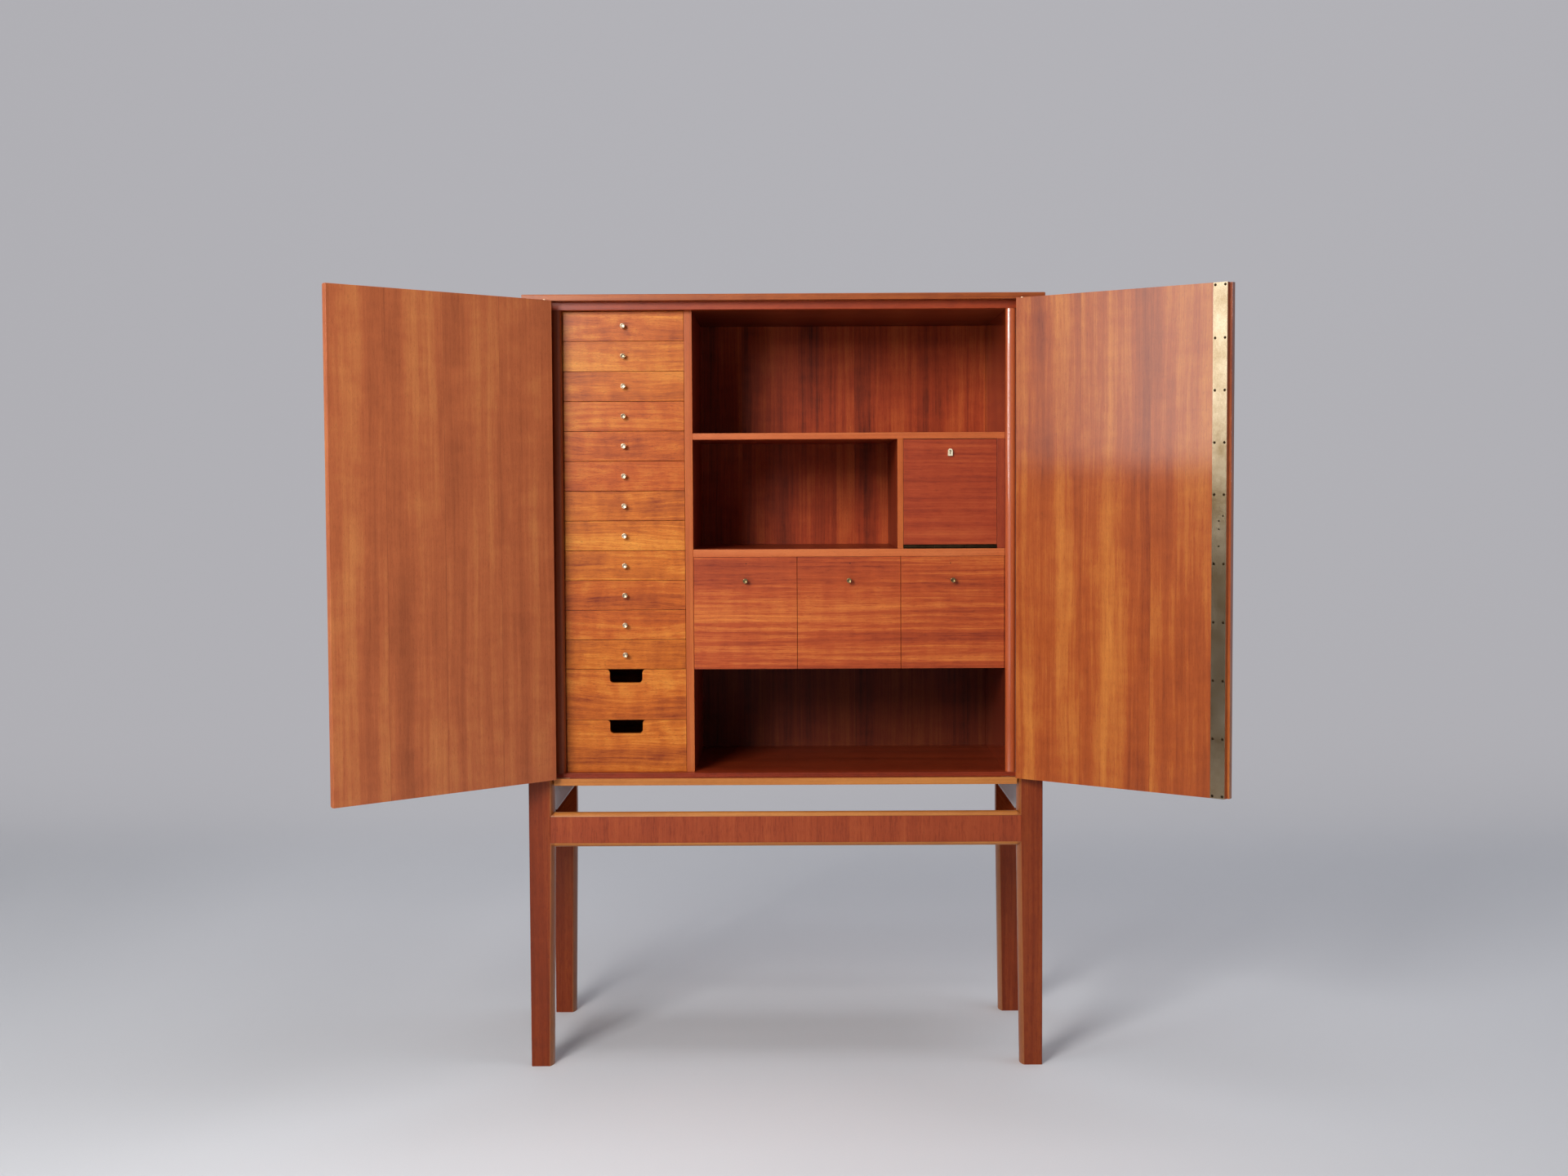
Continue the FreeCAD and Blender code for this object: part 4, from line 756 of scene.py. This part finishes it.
def volume(thing):
    """The signed volume of a closed mesh in cubic millimetres, positive if its faces point outwards:
    the sum of a . (b x c) / 6 over its triangles."""
    mesh = thing.data
    mesh.calc_loop_triangles()
    corner = np.zeros(len(mesh.vertices) * 3)
    mesh.vertices.foreach_get("co", corner)
    order = np.zeros(len(mesh.loop_triangles) * 3, int)
    mesh.loop_triangles.foreach_get("vertices", order)
    a, b, c = corner.reshape(-1, 3)[order.reshape(-1, 3)].transpose(1, 0, 2)
    return float(np.einsum("ij,ij->i", a, np.cross(b, c)).sum() / 6 * MILLIMETRES ** 3)


disc_points, disc_faces = lathe([(0, 0), (1, 0), (1, 1), (0, 1)], (0, 0, 0), (0, -1, 0))
print("a turned disc has", len(disc_points), "points and", sum(map(len, disc_faces)), "faces")

# %% [markdown]
# Turned knobs
#
# A knob has a foot ring, a thin neck, and a head with a dished face in a raised rim, which catches
# the lamp as a bright crescent. The frame's knobs have flat faces, so a turned one stands in the
# place of each. It rides on the drawer that the frame's knob was fixed to.

# %% Knobs
KNOB = [
    # radius and distance from the front, in metres
    (0.0, 0.0), (0.0042, 0.0), (0.0043, 0.0003), (0.0043, 0.0010), (0.0040, 0.0014), (0.0030, 0.0019),
    (0.0027, 0.0030), (0.0027, 0.0050), (0.0031, 0.0066), (0.0041, 0.0078), (0.0047, 0.0086),
    (0.0049, 0.0094), (0.0049, 0.0130), (0.0048, 0.0137), (0.0045, 0.0140), (0.0039, 0.0140),
    (0.0036, 0.0138), (0.0033, 0.0134), (0.0016, 0.0131), (0.0, 0.0130),
]
bodies = {f"knob_{n:02d}": f"small drawer {n}" for n in range(1, SHALLOW_DRAWERS + 1)}
bodies.update({f"deep_knob_{n}": f"deep drawer {n}" for n in range(1, len(HOLES) + 1)})
for name, body in bodies.items():
    low, high = (Vector(v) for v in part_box(name))
    foot = ((low.x + high.x) / 2, high.y, (low.z + high.z) / 2)
    turned_brass = metal["olive" if "deep" in name else "plain"]
    knob = surface("turned_" + name, [lathe(KNOB, foot, (0.0, -1.0, 0.0))], turned_brass)
    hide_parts(name)
    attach(knob, body)
print("knobs:", len(bodies), "volume of one in mm3:", round(volume(knob)))

# %% [markdown]
# Nail heads
#
# The frame's nails are square pins, all in one mesh, one after the other. Each one's middle gives the
# place of a low round head. The middle lies inside the strip, and the head's rim stands just proud of
# it. The last four are the small ones at the lock. All heads are one mesh again, as in the frame.

# %% Nail heads
NAILS, STRIP_NAILS = 24, 20
HEAD = [(0.0, -0.0015), (0.0024, -0.0015), (0.0025, -0.0003), (0.0023, -0.0001), (0.0015, 0.0), (0.0, 0.0)]
SMALL_HEAD = [(0.65 * r, d) for r, d in HEAD]
pins = nodes["strip_nails"].data
corners = np.zeros(len(pins.vertices) * 3)
pins.vertices.foreach_get("co", corners)
corners = corners.reshape(NAILS, -1, 3)
middles = corners.mean(axis=1)
out = np.array((-math.sin(RIGHT_ANGLE), math.cos(RIGHT_ANGLE), 0.0))
reach = float(((corners - middles[:, None]) @ out).max())
shapes = [HEAD] * STRIP_NAILS + [SMALL_HEAD] * (NAILS - STRIP_NAILS)
turned_heads = [lathe(shape, middle + reach * out, out, rounds=16) for shape, middle in zip(shapes, middles)]
heads = surface("round_nail_heads", turned_heads, metal["dark"])
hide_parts("strip_nails")
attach(heads, "right leaf")
print("nail heads:", len(middles), "volume in mm3:", round(volume(heads)))

# %% [markdown]
# Eased edges
#
# A joiner breaks every sharp edge with fine paper, and the narrow round catches the light. Each board
# keeps its mesh, and modifiers do the work: its loose triangles are joined, those of a flat face
# dissolved into one, and a bevel of about half a millimetre eases its edges. Then faces are shaded
# smooth, edges over 50 degrees stay sharp, and large faces decide the normals, so that flat boards
# look flat.

# %% Eased edges
SMOOTH_LIMIT = math.radians(50)
BEVEL_LIMIT = math.radians(35)
FLAT_LIMIT = math.radians(0.6)
WELD_REACH = 0.00001
USUAL_EASE = 0.0006
EASED = {"flap": 0.0005, "shelf": 0.0008, "posts": 0.0004, "slab": 0.0002}


def smooth_by_angle(widest):
    """A modifier's nodes: every face is shaded smooth, edges over an angle stay sharp."""
    tree = bpy.data.node_groups.new("smooth_by_angle", "GeometryNodeTree")
    for way in ("INPUT", "OUTPUT"):
        tree.interface.new_socket("Geometry", in_out=way, socket_type="NodeSocketGeometry")
    given = tree.nodes.new("NodeGroupInput").outputs[0]
    rounded = add(tree, "GeometryNodeSetShadeSmooth", (given,))
    angle = add(tree, "GeometryNodeInputMeshEdgeAngle")
    over = add(tree, "FunctionNodeCompare", (angle, widest), operation="GREATER_THAN")
    inputs = {0: rounded, "Selection": over, "Shade Smooth": False}
    sharpened = add(tree, "GeometryNodeSetShadeSmooth", inputs, domain="EDGE")
    put(tree, sharpened, tree.nodes.new("NodeGroupOutput").inputs[0])
    return tree


def ease(thing, width, smooth):
    """Join, flatten, bevel and shade a board by modifiers that leave its mesh as it is."""
    weld = thing.modifiers.new("join", "WELD")
    weld.merge_threshold = WELD_REACH
    flat = thing.modifiers.new("flat", "DECIMATE")
    flat.decimate_type = "DISSOLVE"
    flat.angle_limit = FLAT_LIMIT
    bevel = thing.modifiers.new("ease", "BEVEL")
    bevel.width = width
    bevel.segments = 2
    bevel.limit_method = "ANGLE"
    bevel.angle_limit = BEVEL_LIMIT
    thing.modifiers.new("smooth", "NODES").node_group = smooth
    thing.modifiers.new("weighted", "WEIGHTED_NORMAL").keep_sharp = True


smooth = smooth_by_angle(SMOOTH_LIMIT)
for name in wood:
    ease(nodes[name], next((width for key, width in EASED.items() if key in name), USUAL_EASE), smooth)
print("eased boards:", len(wood))

# %% [markdown]
# Putting the materials on
#
# Every node takes one material: its own veneer, or the kind of brass that its part is made of. What
# no list names, such as the pivots and the rods, is plain brass.

# %% Dress
BRASS_NODES = {
    "closing_strip": "strip", "strip_nails": "dark", "door_escutcheon": "plate", "flap_escutcheon": "plate",
    # The flap hinge takes the nearly black brass as painted shade of the narrow gap under the flap
    "flap_hinge_fixed": "dark", "flap_hinge_moving": "dark",
}
for name, thing in nodes.items():
    thing.data.materials.clear()
    thing.data.materials.append(wood.get(name) or metal[BRASS_NODES.get(name, "plain")])
print("dressed", len(nodes), "nodes, of them brass:", len(nodes) - len(wood))

# %% [markdown]
# A sweep of paper
#
# The cabinet stands on pale paper that runs from under it up behind it, as in a photographer's
# studio, so no corner shows. It is a section carried sideways. Far behind the cabinet, where the
# lamps no longer reach evenly, an even grey glow takes the paper's place for the rays that show the
# background, and only for those, so that it gives no light to the wood. The floor near the cabinet
# keeps its shadow.

# %% Sweep
BACKDROP_GREY = "#b2b1b6"
SWEEP = {"width": 14.0, "front": -7.0, "back": 2.6, "radius": 1.6, "height": 6.5}
FLOOR_ROWS, BEND_ROWS, WALL_ROWS, COLUMNS = 12, 24, 8, 9
GLOW_FROM, GLOW_FULL, GLOW_MOST = 1.7, 3.5, 0.9


def sweep(width, front, back, radius, height):
    """A floor that curves up into a wall: its points and faces.

    The section is a straight floor, a quarter circle (y, z) = (back + r sin a, r - r cos a) and a
    straight wall, carried along X.
    """
    a = np.linspace(0.0, math.pi / 2, BEND_ROWS)[1:]
    floor, wall = np.linspace(front, back, FLOOR_ROWS), np.linspace(radius, height, WALL_ROWS + 1)[1:]
    ys = np.concatenate([floor, back + radius * np.sin(a), np.full(WALL_ROWS, back + radius)])
    zs = np.concatenate([np.zeros(FLOOR_ROWS), radius - radius * np.cos(a), wall])
    xs = np.linspace(-width / 2, width / 2, COLUMNS)
    points = np.stack([np.repeat(xs, len(ys)), np.tile(ys, COLUMNS), np.tile(zs, COLUMNS)], axis=1)
    rows = len(ys)
    i, j = np.meshgrid(np.arange(COLUMNS - 1), np.arange(rows - 1), indexing="ij")
    k = (i * rows + j).ravel()
    return points, [np.stack([k, k + rows, k + rows + 1, k + 1], axis=1)]


def background_ray(tree):
    """1 for the rays that show the background: straight to the camera, off metal and through glass."""
    path = add(tree, "LightPath").node.outputs
    shiny = add(tree, "Math", (path["Is Glossy Ray"], path["Is Transmission Ray"]), operation="MAXIMUM")
    return add(tree, "Math", (path["Is Camera Ray"], shiny), operation="MAXIMUM")


def grey_paper():
    """Matte paper with a fine tooth, which glows for the background rays as it rises."""
    material, tree, shader = fresh("matte_grey_paper")
    place = add(tree, "TexCoord", give="Object")
    tooth = noise(tree, place, (3, 3, 3), detail=4.0)
    tint = add(tree, "Mix", {0: tooth, 6: linear("#dfe1e5"), 7: linear("#e4e6ea")}, **COLOUR_MIX)
    for key, value in {"Base Color": tint, "Roughness": 0.9, "Specular IOR Level": 0.2}.items():
        put(tree, value, shader[key])
    depth = add(tree, "SeparateXYZ", (place,), "Y")
    inputs = (depth, GLOW_FROM, GLOW_FULL, 0.0, GLOW_MOST)
    rising = add(tree, "MapRange", inputs, interpolation_type="SMOOTHSTEP")
    share = add(tree, "Math", (rising, background_ray(tree)), operation="MULTIPLY")
    glow = add(tree, "Emission", (linear(BACKDROP_GREY), 1.0))
    lit = tree.nodes["Principled BSDF"].outputs[0]
    put(tree, add(tree, "MixShader", (share, lit, glow)), tree.nodes["Material Output"].inputs[0])
    return material


paper = surface("sweep", [sweep(**SWEEP)], grey_paper())
paper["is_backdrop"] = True
print("sweep:", len(paper.data.polygons), "faces")

# %% [markdown]
# Lamps
#
# A big softbox stands high on the left of the camera and gives the soft light and the shadows to the
# right. A narrow one under it is its tail, which lengthens its mirror image in the upright strip and
# nosings. A weak one fills from the right, and a wide one above lights the paper behind.

# %% Lights
LAMPS = {
    # place, aimed at, width and height, watts, colour
    "key": ((-1.5, -3.3, 2.3), (0.0, 0.0, 1.0), (1.2, 1.2), 110.0, "#fffdfa"),
    "key_tail": ((-1.5, -3.3, 1.42), (0.4, 0.0, 1.3), (0.16, 0.66), 9.5, "#fffdfa"),
    "fill": ((2.6, -3.6, 1.6), (0.0, 0.2, 0.9), (2.2, 2.2), 1.5, "#f8f4f0"),
    "backdrop_light": ((0.9, 0.2, 5.8), (0.9, 4.0, 0.6), (6.0, 4.0), 152.0, "#fafaff"),
}


def softbox(name, at, toward, size, power, colour):
    """A rectangular lamp at a place, turned towards another."""
    data = bpy.data.lights.new(name, "AREA")
    data.shape = "RECTANGLE"
    data.size, data.size_y = size
    data.energy = power
    data.color = linear(colour)[:3]
    thing = bpy.data.objects.new(name, data)
    thing.location = at
    thing.rotation_euler = (Vector(toward) - Vector(at)).to_track_quat("-Z", "Y").to_euler()
    bpy.context.collection.objects.link(thing)


for name, lamp in LAMPS.items():
    softbox(name, *lamp)
print("lamps:", sorted(LAMPS))

# %% [markdown]
# A black card
#
# Metal shows what stands round it. A card of black felt beside the cabinet keeps the lower half of
# the brass strip dark, as such a card does in a studio. It stands out of the picture, and the camera
# doesn't see it from other sides either.

# %% The card of felt


def panel(name, material, x, front, back, low, high):
    """An upright sheet in the plane of one X, seen by everything but the camera."""
    points = np.array([(x, front, low), (x, back, low), (x, back, high), (x, front, high)])
    face = np.array([(0, 1, 2, 3)])
    thing = surface(name, [(points, [face])], material)
    thing.visible_camera = False
    return thing


def black_felt():
    """Felt with a nap of 2 mm, which swallows nearly all light."""
    material, tree, shader = fresh("black_felt")
    nap = noise(tree, add(tree, "TexCoord", give="Object"), (2, 2, 2), detail=3.0)
    tint = add(tree, "Mix", {0: nap, 6: linear("#0b0b0c"), 7: linear("#151516")}, **COLOUR_MIX)
    put(tree, tint, shader["Base Color"])
    put(tree, 0.95, shader["Roughness"])
    return material


card = panel("black_card", black_felt(), x=-2.1, front=-4.6, back=-0.4, low=0.02, high=1.16)
card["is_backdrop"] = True
print("black card at X =", round(card.data.vertices[0].co.x, 2))

# %% [markdown]
# A softbox at the side
#
# A softbox at the left lights the upper part of the right door. Its cloth is brightest at the end
# towards the camera and fades towards the cabinet and at its foot, so that its mirror image in the
# lacquer fades too. A lamp is equally bright all over, so this one is a sheet that glows instead.

# %% Side softbox
CLOTH = {"x": -1.45, "front": -1.56, "back": -0.66, "low": 1.14, "high": 2.1}
CLOTH_FADE, FOOT_FADE = -1.4, 0.12
CLOTH_BRIGHT, CLOTH_DIM = 3.4, 0.7


def lit_cloth():
    """White cloth whose glow fades from CLOTH_BRIGHT to CLOTH_DIM towards the back, and to nothing
    at its lower edge."""
    material, tree, _ = fresh("lit_softbox_cloth")
    place = add(tree, "TexCoord", give="Object")
    depth, height = (add(tree, "SeparateXYZ", (place,), axis) for axis in "YZ")
    inputs = (depth, CLOTH_FADE, CLOTH["back"], CLOTH_BRIGHT, CLOTH_DIM)
    fade = add(tree, "MapRange", inputs, interpolation_type="SMOOTHSTEP")
    inputs = (height, CLOTH["low"], CLOTH["low"] + FOOT_FADE)
    foot = add(tree, "MapRange", inputs, interpolation_type="SMOOTHSTEP")
    glow = add(tree, "Math", (fade, foot), operation="MULTIPLY")
    shine = add(tree, "Emission", (linear("#f6f7f4"), glow))
    put(tree, shine, tree.nodes["Material Output"].inputs[0])
    return material


cloth = panel("side_softbox", lit_cloth(), **CLOTH)
cloth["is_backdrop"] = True
print("cloth: from", CLOTH["low"], "to", CLOTH["high"], "m above the floor")

# %% [markdown]
# The room
#
# The room gives a faint grey light from all sides, so that no shadow is quite black. Past the paper
# the background rays see the same grey as the paper shows.

# %% World
ROOM_GREY, ROOM_LIGHT = "#cfd0d6", 0.08
world = bpy.data.worlds.new("studio")
world.use_nodes = True
room = world.node_tree
dim = room.nodes["Background"]
put(room, linear(ROOM_GREY), dim.inputs[0])
put(room, ROOM_LIGHT, dim.inputs[1])
pale = add(room, "Background", (linear(BACKDROP_GREY), 1.0))
both = add(room, "MixShader", (background_ray(room), dim.outputs[0], pale))
put(room, both, room.nodes["World Output"].inputs[0])
bpy.context.scene.world = world
print("room light:", ROOM_LIGHT)

# %% [markdown]
# Camera
#
# The camera was found by fitting the corners of the cabinet in the photograph. It stands 3.7 m away,
# a little above the middle, and looks slightly down. Its axes are worked out from three angles: the
# way ahead, the side, and the rise square to both, which a small roll turns about the way ahead.

# %% Camera
PITCH, YAW, ROLL = math.radians(2.888), math.radians(-0.234), math.radians(0.278)
EYE_PLACE = (0.0140, -3.7292, 1.1205)
FOCAL_LENGTH, SENSOR_WIDTH = 43.875, 36.0
ahead = Vector((math.sin(YAW) * math.cos(PITCH), math.cos(YAW) * math.cos(PITCH), -math.sin(PITCH)))
side = Vector((math.cos(YAW), -math.sin(YAW), 0.0))
rise = Vector((math.sin(YAW) * math.sin(PITCH), math.cos(YAW) * math.sin(PITCH), math.cos(PITCH)))
right = side * math.cos(ROLL) - rise * math.sin(ROLL)
above = side * math.sin(ROLL) + rise * math.cos(ROLL)
lens = bpy.data.cameras.new("camera")
lens.sensor_width = SENSOR_WIDTH
lens.lens = FOCAL_LENGTH
eye = bpy.data.objects.new("camera", lens)
turn = Matrix((right, above, -ahead)).transposed().to_4x4()
eye.matrix_world = Matrix.Translation(EYE_PLACE) @ turn
bpy.context.collection.objects.link(eye)
scene = bpy.context.scene
scene.camera = eye
scene.view_settings.view_transform = "Standard"
print("the camera stands at", EYE_PLACE, "and its lens is", FOCAL_LENGTH, "mm long")

# %% [markdown]
# Finish
#
# The dressed cabinet is measured once more, and the box that it fills is printed.

# %% Finish
low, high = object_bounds()
print("dressed from", [round(v, 3) for v in low], "to", [round(v, 3) for v in high])
